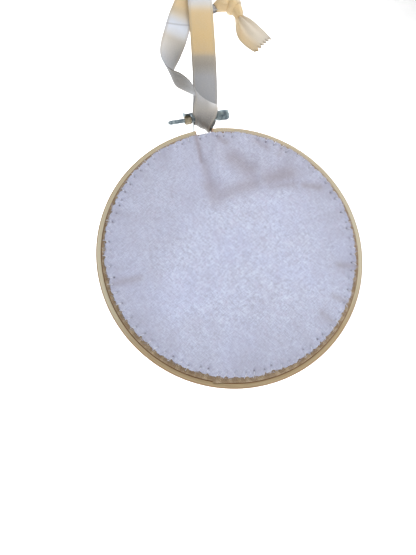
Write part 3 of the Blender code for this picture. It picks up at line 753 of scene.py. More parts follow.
def cloth_profile():
    """(radius, y, share of the tucks) down the cloth from its middle, over the edge and under the felt."""
    inner, face = CLOTH_RADIUS - CLOTH_CORNER, CLOTH_FACE - CLOTH_CORNER
    arc = []
    for turn in (90, 60, 30, 0):
        a = math.radians(turn)
        arc.append((inner + CLOTH_CORNER * math.cos(a), face + CLOTH_CORNER * math.sin(a), turn / 90))
    out = [(CLOTH_RADIUS * share, CLOTH_FACE, 0.0) for share in np.linspace(0.02, 0.985, 26)]
    out += [(radius, y, 0.0) for radius, y, _ in arc]
    out += [(CLOTH_RADIUS, face * (1 - 2 * share), 0.0) for share in (0.25, 0.5, 0.75)]
    out += [(radius, -y, share) for radius, y, share in reversed(arc)]
    out += [(inner - TURNOVER * share, -CLOTH_FACE, 1.0) for share in np.linspace(0.08, 1.0, 14)]
    return out


def cotton_cloth(finish):
    """Drum head, side and turned-over edge in one sheet, gathered in small tucks at the back."""
    profile = cloth_profile()
    reach = [profile[0][0]]
    for (r0, y0, _), (r1, y1, _) in zip(profile, profile[1:]):
        reach.append(reach[-1] + math.hypot(r1 - r0, y1 - y0))
    sheet = Sheet("crest")
    spots, crests = [], []
    for k in range(TUCK_COUNT * 12):
        angle = TAU * k / (TUCK_COUNT * 12)
        tucked = tuck(angle)
        hem = 0.08 * math.sin(5 * angle + 0.6) + 0.05 * math.sin(11 * angle)
        row, crest_row = [], []
        for (radius, y, share), flat in zip(profile, reach):
            # The crest mark sets the painted highlight and painted shade of the tucks
            crest = 0.3
            if share:
                inward = CLOTH_RADIUS - CLOTH_CORNER - radius
                radius -= max(0.0, inward) * hem
                shown = 1.0 - 0.7 * clamp((inward - 1.2 * MM) / (2.4 * MM))
                lump = 0.4 * rough(angle * 45, radius * 500, 4.0)
                y -= share * (tucked * 0.7 + lump) * MM * shown
                radius -= share * tucked * 0.15 * MM
                crest = clamp(tucked + lump)
            else:
                y += 0.05 * MM * rough(radius * 40, angle * 2, 0.0)
            if y < 0 and radius > CLOTH_RADIUS - 1.2 * MM:
                radius += 0.92 * scarf_cut(angle) * min(1.0, -y / (3 * MM))
            row.append((on_hoop(angle, radius, y), (flat * math.sin(angle), flat * math.cos(angle))))
            crest_row.append(crest)
        spots.append(row)
        crests.append(crest_row)
    verts = sheet.rows(spots, closed_along=True)
    for vert_row, crest_row in zip(verts, crests):
        for vert, crest in zip(vert_row, crest_row):
            sheet.paint(vert, crest)
    sheet.fan([row[0] for row in verts], [row[0][1] for row in spots],
              from_hoop(0, CLOTH_FACE, 0), (0.0, 0.0))
    return sheet.finish("cotton_cloth", finish, 60.0, CLOTH_WEIGHT, -1.0), reach[-1]


def stitch_places():
    """Angle, inset and depth of each needle hole, a little uneven as in hand sewing."""
    rng = random.Random(41)
    places = []
    for k in range(STITCH_COUNT):
        angle = TAU * (k + rng.uniform(-0.22, 0.22)) / STITCH_COUNT
        places.append((angle, STITCH_INSET * rng.uniform(0.75, 1.2), rng.uniform(0.0, 1.0)))
    return places


def felt_folds(x, z):
    """Height towards -Y and painted shade of the felt's folds at a point of the hoop's frame."""
    rise, grey = 0.0, 0.0
    for _, x0, z0, x1, z1, half_width, height, shade in FELT_FOLDS:
        ax, az, dx, dz = x0 * MM, z0 * MM, (x1 - x0) * MM, (z1 - z0) * MM
        along = clamp(((x - ax) * dx + (z - az) * dz) / (dx * dx + dz * dz))
        near = bell(math.hypot(x - ax - dx * along, z - az - dz * along), half_width * MM)
        rise += height * MM * near
        grey = max(grey, shade * near)
    return rise, grey


def felt_rise(x, z):
    return felt_folds(x, z)[0]


def felt_crumple(x, z):
    """Small soft unevenness of the felt."""
    return 0.28 * MM * rough(x * 55, z * 55, 3.0) + 0.10 * MM * rough(x * 210, z * 210, 8.0)


def angle_between(angle, other):
    return (angle - other + math.pi) % TAU - math.pi


def felt_edge(angle, holes):
    """Radius of the felt's cut edge, drawn in a little at each stitch."""
    wave = 0.4 * MM * math.sin(24 * angle + 0.5 * math.sin(5 * angle)) * abs(math.sin(3.5 * angle + 0.4))
    ragged = 0.5 * MM * rough(75 * math.cos(angle), 75 * math.sin(angle), 2.0)
    pull = max(dimple_depth(depth) * bell(angle_between(angle, hole_angle) * FELT_RADIUS, 1.1 * MM)
               for hole_angle, _, depth in holes)
    return FELT_RADIUS - FELT_TRIM + wave + ragged - pull


def dimple_depth(depth):
    """How far a stitch of this depth, from 0 to 1, draws the felt in."""
    return (0.45 + 0.4 * depth) * MM


def stitched(angle, radius, from_edge, near):
    """How far the stitches near a point of the felt draw it down, and how dark the painted shade in their
    holes is there.
    """
    drawn, dark = 0.0, 0.0
    for hole_angle, inset, depth in near:
        along, inward = angle_between(angle, hole_angle) * radius, from_edge - inset
        away = math.hypot(along, inward)
        drawn += dimple_depth(depth) * bell(away, 1.0 * MM)
        if 0.0 < inward < 9 * MM:
            pull = (0.2 + 0.45 * depth) * MM * min(1.0, inward / (1.0 * MM))
            drawn += pull * bell(along, 1.6 * MM) * math.exp(-inward / (3.4 * MM))
        # Painted shade in the needle hole
        dark = max(dark, (0.2 + 0.8 * depth * depth) * bell(away, 0.5 * MM))
    return drawn, dark


def felt_disc(finish):
    """Felt backing with its folds, its uneven cut edge and a small dimple at every needle hole."""
    holes = stitch_places()
    by_slot = {}
    for hole in holes:
        by_slot.setdefault(int(hole[0] / TAU * STITCH_COUNT) % STITCH_COUNT, []).append(hole)
    angles = [TAU * k / (STITCH_COUNT * 12) for k in range(STITCH_COUNT * 12)]
    edges = [felt_edge(angle, holes) for angle in angles]
    # The needle-pit and hollow marks hold painted shade; the worn mark holds painted shade and, near the rim,
    # some dirt
    sheet = Sheet("needle_pit", "worn", "hollow", "fringe")
    spots, marks = [], []
    for angle, edge in zip(angles, edges):
        slot = int(angle / TAU * STITCH_COUNT)
        near = [h for s in (-1, 0, 1) for h in by_slot.get((slot + s) % STITCH_COUNT, [])]
        row, mark_row = [], []
        for share in (*np.linspace(0.02, 0.9, 40), *np.linspace(0.905, 0.992, 26)):
            radius = edge * share
            from_edge = edge - radius
            x, z = radius * math.sin(angle), radius * math.cos(angle) + FELT_RISE
            outer = clamp((share - HOLLOW_LIMIT) / 0.2)
            drawn, dark = stitched(angle, radius, from_edge, near)
            folds, grey = felt_folds(x, z)
            rise = max(folds, folds * (1 - outer)) + felt_crumple(x, z) * (1 - 0.5 * outer) - drawn
            rise -= 0.75 * MM * max(0.0, 1.0 - from_edge / (0.9 * MM)) ** 2
            if from_edge < 3.0 * MM:
                rise += 0.35 * MM * rough(x * 520, z * 520, 1.0)
            # The painted shade of the folds stops at the paler patch's edge above its foot height
            grey *= outside_patch(x, z) if z > PATCH_SHADE_FOOT else 1.0
            tuft = max(0.0, 0.5 + 0.9 * rough(x * 900, z * 900, 6.0))
            row.append((from_hoop(x, FELT_TOP - rise, z), (x, z)))
            mark_row.append((dark, felt_shade_and_dirt(x, z), grey, max(0.0, 1.0 - from_edge / (1.9 * MM)) * tuft))
        spots.append(row)
        marks.append(mark_row)
    verts = sheet.rows(spots, closed_along=True)
    for vert_row, mark_row in zip(verts, marks):
        for vert, amounts in zip(vert_row, mark_row):
            sheet.paint(vert, *amounts)
    under = []
    for angle, edge, row in zip(angles, edges, verts):
        line = [row[-1]]
        for share in (0.996, 0.985, 0.95, 0.8, 0.5, 0.2):
            x, z = edge * share * math.sin(angle), edge * share * math.cos(angle) + FELT_RISE
            rise = max(-0.1 * MM, felt_rise(x, z)) if share > HOLLOW_LIMIT else felt_rise(x, z)
            rim = 0.45 * MM if share > 0.99 else 0.0
            line.append(sheet.bm.verts.new(from_hoop(x, FELT_FLOOR - rise - rim, z)))
        under.append(line)
    for here, after in zip(under, under[1:] + under[:1]):
        for j in range(len(here) - 1):
            sheet.bm.faces.new((here[j], after[j], after[j + 1], here[j + 1]))
    middle = felt_rise(0, FELT_RISE)
    sheet.fan([row[0] for row in verts], [row[0][1] for row in spots],
              from_hoop(0, FELT_TOP - middle, FELT_RISE), (0.0, FELT_RISE))
    sheet.fan([line[-1] for line in under], [(0.0, 0.0)] * len(under),
              from_hoop(0, FELT_FLOOR - middle, FELT_RISE), (0.0, 0.0))
    return sheet.finish("felt_disc", finish, 75.0), holes


def outside_patch(x, z):
    """From 0 on the paler round patch of the felt to 1 round it."""
    reach = math.hypot(x - PATCH_X, z - PATCH_Z)
    return 1.0 / (1.0 + math.exp(-(reach / PATCH_RADIUS - 1.0) * 26))


def felt_shade_and_dirt(x, z):
    """Where the felt is painted a little grey: painted shade round its paler patch and towards its foot, and
    near the rim an uneven darkening that is part dirt and part painted shade.
    """
    foot = clamp(max((x - 38 * MM) / (26 * MM), (-z - 28 * MM) / (30 * MM)))
    reach, angle = math.hypot(x, z - FELT_RISE), math.atan2(x, z)
    rim = clamp((reach - 48 * MM) / (24 * MM))
    pucker = 0.5 + rough(9 * math.cos(angle), 9 * math.sin(angle), reach * 40)
    return min(1.0, 0.45 * max(outside_patch(x, z), foot) + 0.6 * rim * rim * max(0.1, pucker))


# Ribbon


def ribbon_flats(columns, length):
    return [(RIBBON_WIDTH * (j / columns - 0.5), length) for j in range(columns + 1)]


def ribbon_loop(finish):
    """The loop from the knot over the top, round the screw and back, as one strip of cloth."""
    rows, columns, length, spots = smooth_rows(RIBBON_SECTIONS, 9), 16, 0.0, []
    centres = [Vector(row[:3]) * MM for row in rows]
    for i, (centre, (*_, width, turn, dip)) in enumerate(zip(centres, rows)):
        if i:
            length += (centre - centres[i - 1]).length
        turn, dip = math.radians(turn), math.radians(dip)
        across = Vector((math.cos(turn) * math.cos(dip), math.sin(turn) * math.cos(dip), -math.sin(dip)))
        out = heading(centres, i).cross(across).normalized()
        spare = max(0.0, RIBBON_WIDTH / MM / width - 1.0)
        ripple = min(0.25 * MM, width * MM / (2 * TAU) * math.sqrt(spare))
        row = []
        for j, flat in enumerate(ribbon_flats(columns, length)):
            share = j / columns - 0.5
            cup = 0.25 * MM * (1 - 4 * share * share)
            fold = ripple * math.sin(2 * TAU * share + 0.6 * math.sin(length * 400))
            wavy = 0.06 * MM * rough(length * 90, share * 3, 5.0)
            row.append((centre + across * share * width * MM + out * (cup + fold + wavy), flat))
        spots.append(row)
    sheet = Sheet("painted_light_tint", "painted_shade", "selvage", "from_crease")
    verts = sheet.rows(spots)
    foot = min(range(len(centres)), key=lambda i: centres[i].z)
    crease = next(spots[i][0][1][1] for i in range(foot, len(rows)) if centres[i].z > CREASE_HEIGHT)
    # Each row's painted light and painted shade by height along its strand; the band into the knot gets its
    # own painted shade, and the left strand more painted shade and a painted highlight across
    for i, (row, centre) in enumerate(zip(verts, centres)):
        warm, dull = tone(RIGHT_STRAND_LIGHT if i < foot else LEFT_STRAND_LIGHT, centre.z / MM)
        if centre.x > BAND_START:
            warm, dull = BAND_LIGHT
        for j, vert in enumerate(row):
            shaded = clamp(dull + painted_light_across(i > foot, centre.z / MM, j / columns - 0.5))
            across, along = spots[i][j][1]
            from_crease = along - crease - CREASE_SLANT * across
            sheet.paint(vert, warm, shaded, float(j in (1, columns - 1)), CREASE_MARK + from_crease)
    return sheet.finish("ribbon_loop", finish, 60.0, RIBBON_WEIGHT), length


def tone(table, height):
    """How warm the painted light is and how deep the painted shade is on a strand at a height in mm."""
    return [float(np.interp(height, [row[1] for row in table], [row[i] for row in table])) for i in (2, 3)]


def painted_light_across(left, height, share):
    """Extra painted shade across the left strand: near its foot painted light on the left edge and more
    painted shade on the right, and a painted highlight along the right edge of the curl's front layer.
    """
    if not left:
        return 0.0
    return 0.8 * share * bell(height + 47, 11) - 2.0 * max(0.0, share - 0.05) * bell(height + 83, 9)


def knot(finish):
    """Overhand knot of the doubled ribbon: gathered core and the turn that goes round it."""
    def gathers(i, angle):
        wandered = angle + 0.5 * math.sin(0.35 * i)
        return 1.0 + 0.03 * (math.cos(5 * wandered) + 0.5 * math.cos(8 * angle))

    rows = smooth_rows(KNOT_CORE, 9)
    sheet = Sheet("painted_light_tint", "painted_shade")
    tube(sheet, [Vector(row[:3]) * MM for row in rows], lambda i: rows[i][3] * MM, 48, gathers)
    first = WRAP_AXIS.cross(Vector((0, 1, 0))).normalized()
    second = WRAP_AXIS.cross(first)
    steps, sides = 72, 28
    spots = []
    for k in range(steps):
        angle = TAU * k / steps
        out = first * math.cos(angle) + second * math.sin(angle)
        width = 3.5 + 0.6 * math.sin(angle + 0.8)
        row = []
        for s in range(sides):
            turn = TAU * s / sides
            fold = 1.0 + 0.05 * math.cos(5 * turn + 0.8 * math.sin(2 * angle))
            fold += 0.03 * math.cos(9 * turn + angle)
            spoke = out * (4.4 + 1.9 * fold * math.cos(turn))
            spoke += WRAP_AXIS * width * fold * math.sin(turn) * 0.8
            row.append((WRAP_CENTRE + spoke * MM, (turn * 2.6 * MM, angle * 6 * MM)))
        spots.append(row)
    sheet.rows(spots, closed_across=True, closed_along=True)
    # Painted light: warmer low down and cooler towards the top right, and painted shade under the knot
    for vert in sheet.bm.verts:
        across, above = vert.co.x - WRAP_CENTRE.x, vert.co.z - WRAP_CENTRE.z
        warm = clamp(0.72 - (above + 0.5 * across) / (9 * MM), 0.1, 0.9)
        sheet.paint(vert, warm, clamp((-above - 0.9 * across - 4 * MM) / (20 * MM), 0.0, 0.12))
    return sheet.finish("ribbon_knot", finish, 60.0)


def tail(name, finish, shift, seed):
    """One pinked tail, gathered at the knot's neck and spreading out flat."""
    columns, length, places, flats = 30, 0.0, [], []
    rng = random.Random(seed)
    teeth = [rng.uniform(0.7, 1.2) for _ in range(columns + 1)]
    rows = smooth_rows(TAIL_ROWS, 10)
    for i, row in enumerate(rows):
        left, right, fold = Vector(row[:3]) * MM + shift, Vector(row[3:6]) * MM + shift, row[6] * MM
        if i:
            length += ((left + right) / 2 - (places[-1][0] + places[-1][-1]) / 2).length
        line = []
        for j in range(columns + 1):
            share = j / columns
            bulge = -0.08 * (right - left).length * math.sin(math.pi * share)
            pleat = fold * math.cos(TAU * 2.5 * share + 0.4)
            roll = 1.4 * MM * max(0.0, 0.22 - share) / 0.22 * (1 - 0.5 * i / len(rows))
            line.append(left.lerp(right, share) + Vector((0.0, bulge + pleat + roll, 0.0)))
        places.append(line)
        flats.append(ribbon_flats(columns, length))
    forward = (places[-1][columns // 2] - places[-4][columns // 2]).normalized()
    for j in range(columns + 1):
        saw = abs(((j + seed) / 2.5) % 2 - 1)
        for back in range(TOOTH_ROWS):
            places[-1 - back][j] -= forward * TOOTH_DEPTH * saw * teeth[j] * (1 - back / TOOTH_ROWS)
    sheet = Sheet("painted_light_tint", "painted_shade", "selvage")
    verts = sheet.rows([list(zip(*pair)) for pair in zip(places, flats)])
    # Painted light: warmer along the left edge, and painted shade at the corners of the pinked end
    for i, row in enumerate(verts):
        along = i / len(verts)
        for j, vert in enumerate(row):
            share = j / columns
            warm = max(0.1, 0.9 - 0.4 * clamp((share - 0.12) * 3) - 0.14 * along)
            shaded = 0.2 * max(0.0, along - 0.7) / 0.3 * abs(2 * share - 1)
            sheet.paint(vert, warm, shaded, float(j in (1, columns - 1)))
    return sheet.finish(name, finish, 60.0, RIBBON_WEIGHT), length


# Clamp


def bracket(name, side, ear, finish):
    """Stamped strip: a foot on the hoop that bends up into an ear."""
    radius = HOOP_RADIUS + STRIP_GAP + STRIP_THICKNESS / 2
    near = math.asin((EAR_PLACE + STRIP_THICKNESS) / radius)
    far = near + FOOT_LENGTH / radius
    foot = [far + (near - far) * k / 16 for k in range(17)]
    path = [Vector((side * radius * math.sin(a), radius * math.cos(a))) for a in foot]
    path = eased(path + [Vector(row[1:]) * MM for row in ear], 0.9 * MM)
    half, thick, edge = STRIP_WIDTH / 2, STRIP_THICKNESS / 2, 0.14 * MM
    outline = ((-half + edge, thick), (half - edge, thick), (half, thick - edge), (half, -thick + edge),
               (half - edge, -thick), (-half + edge, -thick), (-half, -thick + edge), (-half, thick - edge))
    spots = []
    for i, point in enumerate(path):
        run = heading(path, i)
        normal, taper = Vector((-run.y, run.x)), 0.72 if i == 0 else 1.0
        row = []
        for k, (y, t) in enumerate(outline):
            spot = point + normal * t
            row.append((from_hoop(spot.x, y * taper, spot.y), (0.001 * k, 0.001 * i)))
        spots.append(row)
    sheet = Sheet()
    sheet.rows(spots, closed_across=True, ends=True)
    return sheet.finish(name, finish, 30.0)


def eased(path, radius):
    """The same path with each inner corner rounded."""
    out = [path[0]]
    for before, point, after in zip(path, path[1:], path[2:]):
        arrive, leave = point - before, after - point
        if arrive.angle(leave) < math.radians(12):
            out.append(point)
            continue
        reach = min(radius, arrive.length / 2.1, leave.length / 2.1)
        start, end = point - arrive.normalized() * reach, point + leave.normalized() * reach
        for t in (0.0, 0.25, 0.5, 0.75, 1.0):
            out.append(start * (1 - t) ** 2 + point * 2 * t * (1 - t) + end * t * t)
    return out + [path[-1]]


def thumb_screw(finish):
    """Threaded shaft with a chamfered tip, a plain shoulder and the head's round body."""
    sides, length = 24, SHOULDER_START - SCREW_TIP
    rings = int(length / THREAD_PITCH * 4)
    spots = []
    for i in range(rings + 1):
        x = SCREW_TIP + length * i / rings
        taper = min(1.0, 0.6 + 0.4 * (x - SCREW_TIP) / (1.4 * MM))
        row = []
        for k in range(sides):
            crest = abs(2 * ((x / THREAD_PITCH + k / sides) % 1.0) - 1)
            radius = (SCREW_RADIUS - 0.2 * MM * (1 - min(1.0, 1.5 * crest))) * taper
            row.append((on_screw(x, radius, TAU * k / sides), (radius * TAU * k / sides, x)))
        spots.append(row)
    sheet = Sheet()
    sheet.rows(spots, closed_across=True, ends=True)
    turned(sheet, (
        (SHOULDER_START, SHOULDER_RADIUS - 0.2 * MM),
        (SHOULDER_START + 0.2 * MM, SHOULDER_RADIUS),
        (HEAD_START - 0.5 * MM, SHOULDER_RADIUS),
        (HEAD_START, SHOULDER_RADIUS + 0.3 * MM),
        (HEAD_START + 0.05 * MM, HEAD_BODY - 0.5 * MM),
        (HEAD_START + 0.6 * MM, HEAD_BODY),
        (HEAD_END - 0.7 * MM, HEAD_BODY),
        (HEAD_END - 0.2 * MM, HEAD_BODY - 0.25 * MM),
        (HEAD_END, HEAD_BODY - 0.8 * MM),
        (HEAD_END - 0.25 * MM, HEAD_BODY - 1.6 * MM),
    ), 40)
    return sheet.finish("thumb_screw_body", finish, 40.0)


def nut(finish):
    """Hexagonal nut with rounded corners at both ends and a bore."""
    half, sixth, sides = NUT_ACROSS / 2, TAU / 6, 48
    corner, bore, end = half / math.cos(sixth / 2), SCREW_RADIUS + 0.1 * MM, NUT_END + NUT_LENGTH
    spots = []
    for x, radius in ((NUT_END, bore), (NUT_END, half - 0.1 * MM), (NUT_END + 0.45 * MM, corner),
                      (end - 0.45 * MM, corner), (end, half - 0.1 * MM), (end, bore)):
        row = []
        for k in range(sides):
            angle = TAU * k / sides
            reach = half / math.cos(angle % sixth - sixth / 2) if radius == corner else radius
            row.append((on_screw(x, reach, angle + sixth / 2), (radius * angle, x)))
        spots.append(row)
    sheet = Sheet()
    sheet.rows(spots, closed_across=True, closed_along=True)
    return sheet.finish("clamp_nut", finish, 25.0)


# Repeated pieces, by Geometry Nodes


class Maker(Tree):
    """A Geometry Nodes tree with named inputs."""

    def __init__(self, name, *inputs):
        self.tree = bpy.data.node_groups.new(name, "GeometryNodeTree")
        face = self.tree.interface
        face.new_socket("Geometry", in_out="INPUT", socket_type="NodeSocketGeometry")
        self.keys = {}
        for label, kind in inputs:
            socket = face.new_socket(label, in_out="INPUT", socket_type="NodeSocket" + kind)
            self.keys[label] = socket.identifier
        face.new_socket("Geometry", in_out="OUTPUT", socket_type="NodeSocketGeometry")
        self.given = self.tree.nodes.new("NodeGroupInput").outputs

    def close(self, instances, finish):
        """Realizes the instances, gives them their material and ends the tree."""
        real = self.node("GeometryNodeRealizeInstances", {"Geometry": instances})
        painted = self.node("GeometryNodeSetMaterial", {"Geometry": real[0], "Material": finish})
        self.node("NodeGroupOutput", {0: painted[0]})

    def make(self, name, seeds, **values):
        """Runs the tree on the seeds' mesh and returns the result as a plain mesh object."""
        modifier = seeds.modifiers.new(name, "NODES")
        modifier.node_group = self.tree
        for label, value in values.items():
            modifier[self.keys[label.replace("_", " ")]] = value
        bpy.context.view_layer.update()
        graph = bpy.context.evaluated_depsgraph_get()
        mesh = bpy.data.meshes.new_from_object(seeds.evaluated_get(graph))
        mesh.name = name
        bpy.data.objects.remove(seeds)
        return put_in_scene(name, mesh)


def instancer(name):
    """Tree that puts a pattern piece on each point, turned by the point's angles and sized at random."""
    maker = Maker(name, ("Pattern", "Object"), ("Size", "Float"), ("Size spread", "Float"),
                  ("Seed", "Int"), ("Material", "Material"))
    given = maker.given
    pattern = maker.node("GeometryNodeObjectInfo", {"Object": given["Pattern"]}, transform_space="ORIGINAL")
    turn = maker.node("GeometryNodeInputNamedAttribute", {"Name": "turn"}, data_type="FLOAT_VECTOR")
    rotation = maker.node("FunctionNodeEulerToRotation", {"Euler": turn["Attribute"]})
    low, high = (maker.node("ShaderNodeMath", {0: given["Size"], 1: given["Size spread"]}, operation=way)[0]
                 for way in ("SUBTRACT", "ADD"))
    size = maker.node("FunctionNodeRandomValue", {2: low, 3: high, "Seed": given["Seed"]},
                      data_type="FLOAT")
    placed = maker.node("GeometryNodeInstanceOnPoints", {
        "Points": given["Geometry"], "Instance": pattern["Geometry"],
        "Rotation": rotation[0], "Scale": size[1]})
    maker.close(placed[0], given["Material"])
    return maker


def repeated(name, pattern, places, turns, finish, size, spread, seed):
    """One plain mesh of a pattern piece repeated at places, each turned by its matrix; the pattern goes."""
    mesh = bpy.data.meshes.new(name + "_points")
    mesh.from_pydata([tuple(place) for place in places], [], [])
    angles = np.array([tuple(turn.to_euler()) for turn in turns], np.float32).ravel()
    mesh.attributes.new("turn", "FLOAT_VECTOR", "POINT").data.foreach_set("vector", angles)
    seeds = put_in_scene(name + "_points", mesh)
    made = instancer(name + "_tree").make(
        name, seeds, Pattern=pattern, Size=size, Size_spread=spread, Seed=seed, Material=finish)
    bpy.data.objects.remove(pattern)
    return made


def standing(out, up):
    """Matrix that turns a pattern piece's +X to out and its +Z to up."""
    return Matrix((out, up.cross(out), up)).transposed()


def whip_stitches(finish, holes):
    """Stitches out of each hole, over the felt's edge and into the cloth.

    One stitch starts at its own origin, the hole; its +X runs out to the rim and its +Z out of the felt.
    """
    path = []
    for k in range(15):
        t = k / 14
        lift = 0.30 * MM * math.sin(math.pi * min(1.0, t * 1.25)) - 0.30 * MM
        drop = -1.4 * MM * max(0.0, (t - 0.6) / 0.4) ** 1.3
        path.append(Vector(((STITCH_INSET + 0.25 * MM) * t, 0.5 * MM * t, lift + drop)))
    sheet = Sheet()
    tube(sheet, path, lambda i: THREAD_RADIUS, 8, lambda i, a: 1.0 + 0.22 * math.cos(2 * a - 0.9 * i))
    pattern = sheet.finish("whip_stitch_pattern", finish, 60.0)
    places, turns = [], []
    rng = random.Random(7)
    for angle, inset, _ in holes:
        radius = FELT_RADIUS - FELT_TRIM - inset
        x, z = radius * math.sin(angle), radius * math.cos(angle) + FELT_RISE
        rise = max(0.0, felt_rise(x, z)) + felt_crumple(x, z) * 0.5
        places.append(from_hoop(x, FELT_TOP - rise + 0.1 * MM, z))
        slant = angle + math.radians(rng.uniform(18, 44))
        outward = HOOP_TURN.to_3x3() @ Vector((math.sin(slant), 0.0, math.cos(slant)))
        turns.append(standing(outward, Vector((0.0, -1.0, 0.0))))
    return repeated("whip_stitches", pattern, places, turns, finish, 1.0, 0.12, 3)


def knurl(finish):
    """Diamond points round the screw's head, each a small four-sided pyramid with a flat top."""
    around, rows = 18, 8
    long, wide = 0.62 * (HEAD_END - HEAD_START) / rows, 0.5 * TAU * HEAD_BODY / around
    sheet = Sheet()
    foot, top = ([sheet.bm.verts.new((long * size * a, wide * size * b, height))
                  for a, b in ((1, 0), (0, 1), (-1, 0), (0, -1))]
                 for size, height in ((1.0, -0.1 * MM), (0.25, 0.3 * MM)))
    for k in range(4):
        sheet.bm.faces.new((foot[k], foot[(k + 1) % 4], top[(k + 1) % 4], top[k]))
    sheet.bm.faces.new(top)
    sheet.bm.faces.new(foot[::-1])
    pattern = sheet.finish("knurl_point_pattern", finish, 20.0)
    places, turns = [], []
    axis = HOOP_TURN.to_3x3() @ Vector((1, 0, 0))
    start, end = HEAD_START + 1.1 * MM, HEAD_END - 1.2 * MM
    for row in range(2 * rows - 1):
        x = start + (end - start) * row / (2 * rows - 2)
        for k in range(around):
            angle = TAU * (k + 0.5 * (row % 2)) / around
            places.append(on_screw(x, HEAD_BODY, angle))
            up = HOOP_TURN.to_3x3() @ Vector((0.0, math.sin(angle), math.cos(angle)))
            turns.append(standing(axis, up))
    return repeated("thumb_screw_knurl", pattern, places, turns, finish, 1.0, 0.02, 5)


def felt_fibres(finish):
    """Loose fibres that stand off the felt and past its cut edge."""
    sheet = Sheet()
    path = [Vector((0.9 * math.sin(1.8 * t), 0.35 * t * t, 1.5 * t - 0.35)) * MM
            for t in np.linspace(0, 1, 6)]
    tube(sheet, path, lambda i: (0.032 - 0.003 * i) * MM, 3)
    pattern = sheet.finish("felt_fibre_pattern", finish, 60.0)
    rng = random.Random(23)
    places, turns = [], []
    for k in range(FIBRE_COUNT):
        at_edge = k % 5 < 2
        angle = rng.uniform(0.0, TAU)
        radius = FELT_RADIUS - 0.5 * MM - (rng.uniform(0.0, 1.0) * MM if at_edge else 0.0)
        if not at_edge:
            radius *= math.sqrt(rng.uniform(0.0, 0.97))
        x, z = radius * math.sin(angle), radius * math.cos(angle) + FELT_RISE
        rise = max(felt_rise(x, z), 0.0 if radius > HOLLOW_LIMIT * FELT_RADIUS else -1.0)
        places.append(from_hoop(x, FELT_TOP - rise - felt_crumple(x, z) + 0.25 * MM, z))
        lean = math.radians(rng.uniform(55, 88))
        tilt = math.radians(90 + rng.uniform(-25, 25))
        spin = rng.uniform(0, TAU)
        turns.append(Matrix.Rotation(tilt, 3, "X") @ Matrix.Rotation(spin, 3, "Z")
                     @ Matrix.Rotation(lean, 3, "X"))
    return repeated("felt_fibres", pattern, places, turns, finish, 0.9, 0.45, 11)


# Setting


def camera():
    """The photograph's viewpoint: in front of the felt, a little below the middle and left of it."""
    data = bpy.data.cameras.new("camera")
    data.lens, data.sensor_width = 28.0, 36.0
    data.clip_start, data.clip_end = 0.005, 20.0
    made = put_in_scene("camera", data)
    made.location = CAMERA_PLACE
    made.rotation_euler = CAMERA_TURN
    bpy.context.scene.camera = made


def softbox(name, place, target, size, power, colour):
    """A soft rectangular light at a place, turned to its target."""
    data = bpy.data.lights.new(name, "AREA")
    data.shape = "RECTANGLE"
    data.size, data.size_y = size
    data.energy, data.color = power, colour
    made = put_in_scene(name, data)
    made.location = place
    made.rotation_euler = (Vector(place) - Vector(target)).to_track_quat("Z", "Y").to_euler()


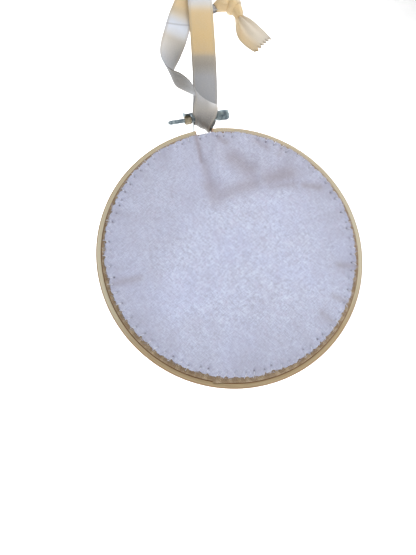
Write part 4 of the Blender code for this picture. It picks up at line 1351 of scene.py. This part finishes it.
def studio():
    """Pale floor that curves up behind, pale surroundings and soft lights."""
    world = bpy.data.worlds.new("pale_room")
    world.use_nodes = True
    back = world.node_tree.nodes["Background"].inputs
    back["Color"].default_value, back["Strength"].default_value = (1.0, 1.0, 1.0, 1.0), 0.5
    bpy.context.scene.world = world
    bpy.context.scene.view_settings.view_transform = "Standard"
    paint = Finish("floor_paint", (0.93, 0.93, 0.93), 0.8)
    grain = paint.cloud(paint.place(), 6.0, 2.0)
    finish = paint.use(Base_Color=paint.ramp(grain, (0.3, (0.92, 0.92, 0.92)), (0.7, (0.94, 0.94, 0.94))))
    half, bend, height = FLOOR_HALF, FLOOR_BEND, CAD_BOX[0].z - FLOOR_DROP
    profile = [(-half, height), (half - bend, height)]
    for turn in range(10, 91, 10):
        a = math.radians(turn)
        profile.append((half - bend + bend * math.sin(a), height + bend * (1 - math.cos(a))))
    profile.append((half, BACK_HEIGHT))
    sheet = Sheet()
    sheet.rows([[(Vector((x, y, z)), (x, y)) for y, z in profile] for x in np.linspace(-half, half, 33)])
    sheet.finish("studio_floor", finish, 60.0)
    middle = (CAD_BOX[0] + CAD_BOX[1]) / 2
    for name, place, target, *light in LAMPS:
        softbox(name, place, target or middle, *light)


def dress(piece, body, stands_for=None):
    """Puts a piece on its body and hides the solid that it stands for."""
    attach(piece, body)
    if stands_for:
        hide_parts(stands_for)


camera()
studio()

bamboo, cotton, felt = bamboo_finish(), cotton_finish(), felt_finish()
thread, grosgrain = thread_finish(), ribbon_finish()
zinc = metal_finish("zinc", (0.24, 0.29, 0.33), (0.50, 0.58, 0.60), (0.30, 0.27, 0.22), 0.34)
brass = metal_finish("brass", (0.20, 0.165, 0.11), (0.40, 0.34, 0.24), (0.20, 0.18, 0.15), 0.42)
for slot in frame["nodes"]["inner_hoop"].material_slots:
    slot.material = bamboo

dress(outer_hoop(bamboo), "hoop", "outer_hoop")

cloth_piece, cloth_reach = cotton_cloth(cotton)
dress(cloth_piece, "hoop", "cloth")

felt_piece, needle_holes = felt_disc(felt)
dress(felt_piece, "hoop", "felt_backing")
fibre_piece = felt_fibres(felt)
dress(fibre_piece, "hoop")
stitch_piece = whip_stitches(thread, needle_holes)
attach(stitch_piece, "hoop")

loop_piece, loop_length = ribbon_loop(grosgrain)
knot_piece = knot(grosgrain)
front_tail, tail_length = tail("ribbon_front_tail", grosgrain, Vector((0, 0, 0)), 3)
back_tail, _ = tail("ribbon_back_tail", grosgrain, BACK_TAIL_SHIFT, 9)
dress(loop_piece, "hoop", "ribbon")
for piece in (knot_piece, front_tail, back_tail):
    dress(piece, "hoop")

for side_name, side, ear in (("left", -1, LEFT_EAR), ("right", 1, RIGHT_EAR)):
    strip = bracket(f"clamp_bracket_{side_name}", side, ear, zinc)
    dress(strip, "hoop", f"bracket_{side_name}")
dress(nut(brass), "hoop", "nut")
dress(thumb_screw(zinc), "screw", "thumb_screw")
dress(knurl(zinc), "screw")
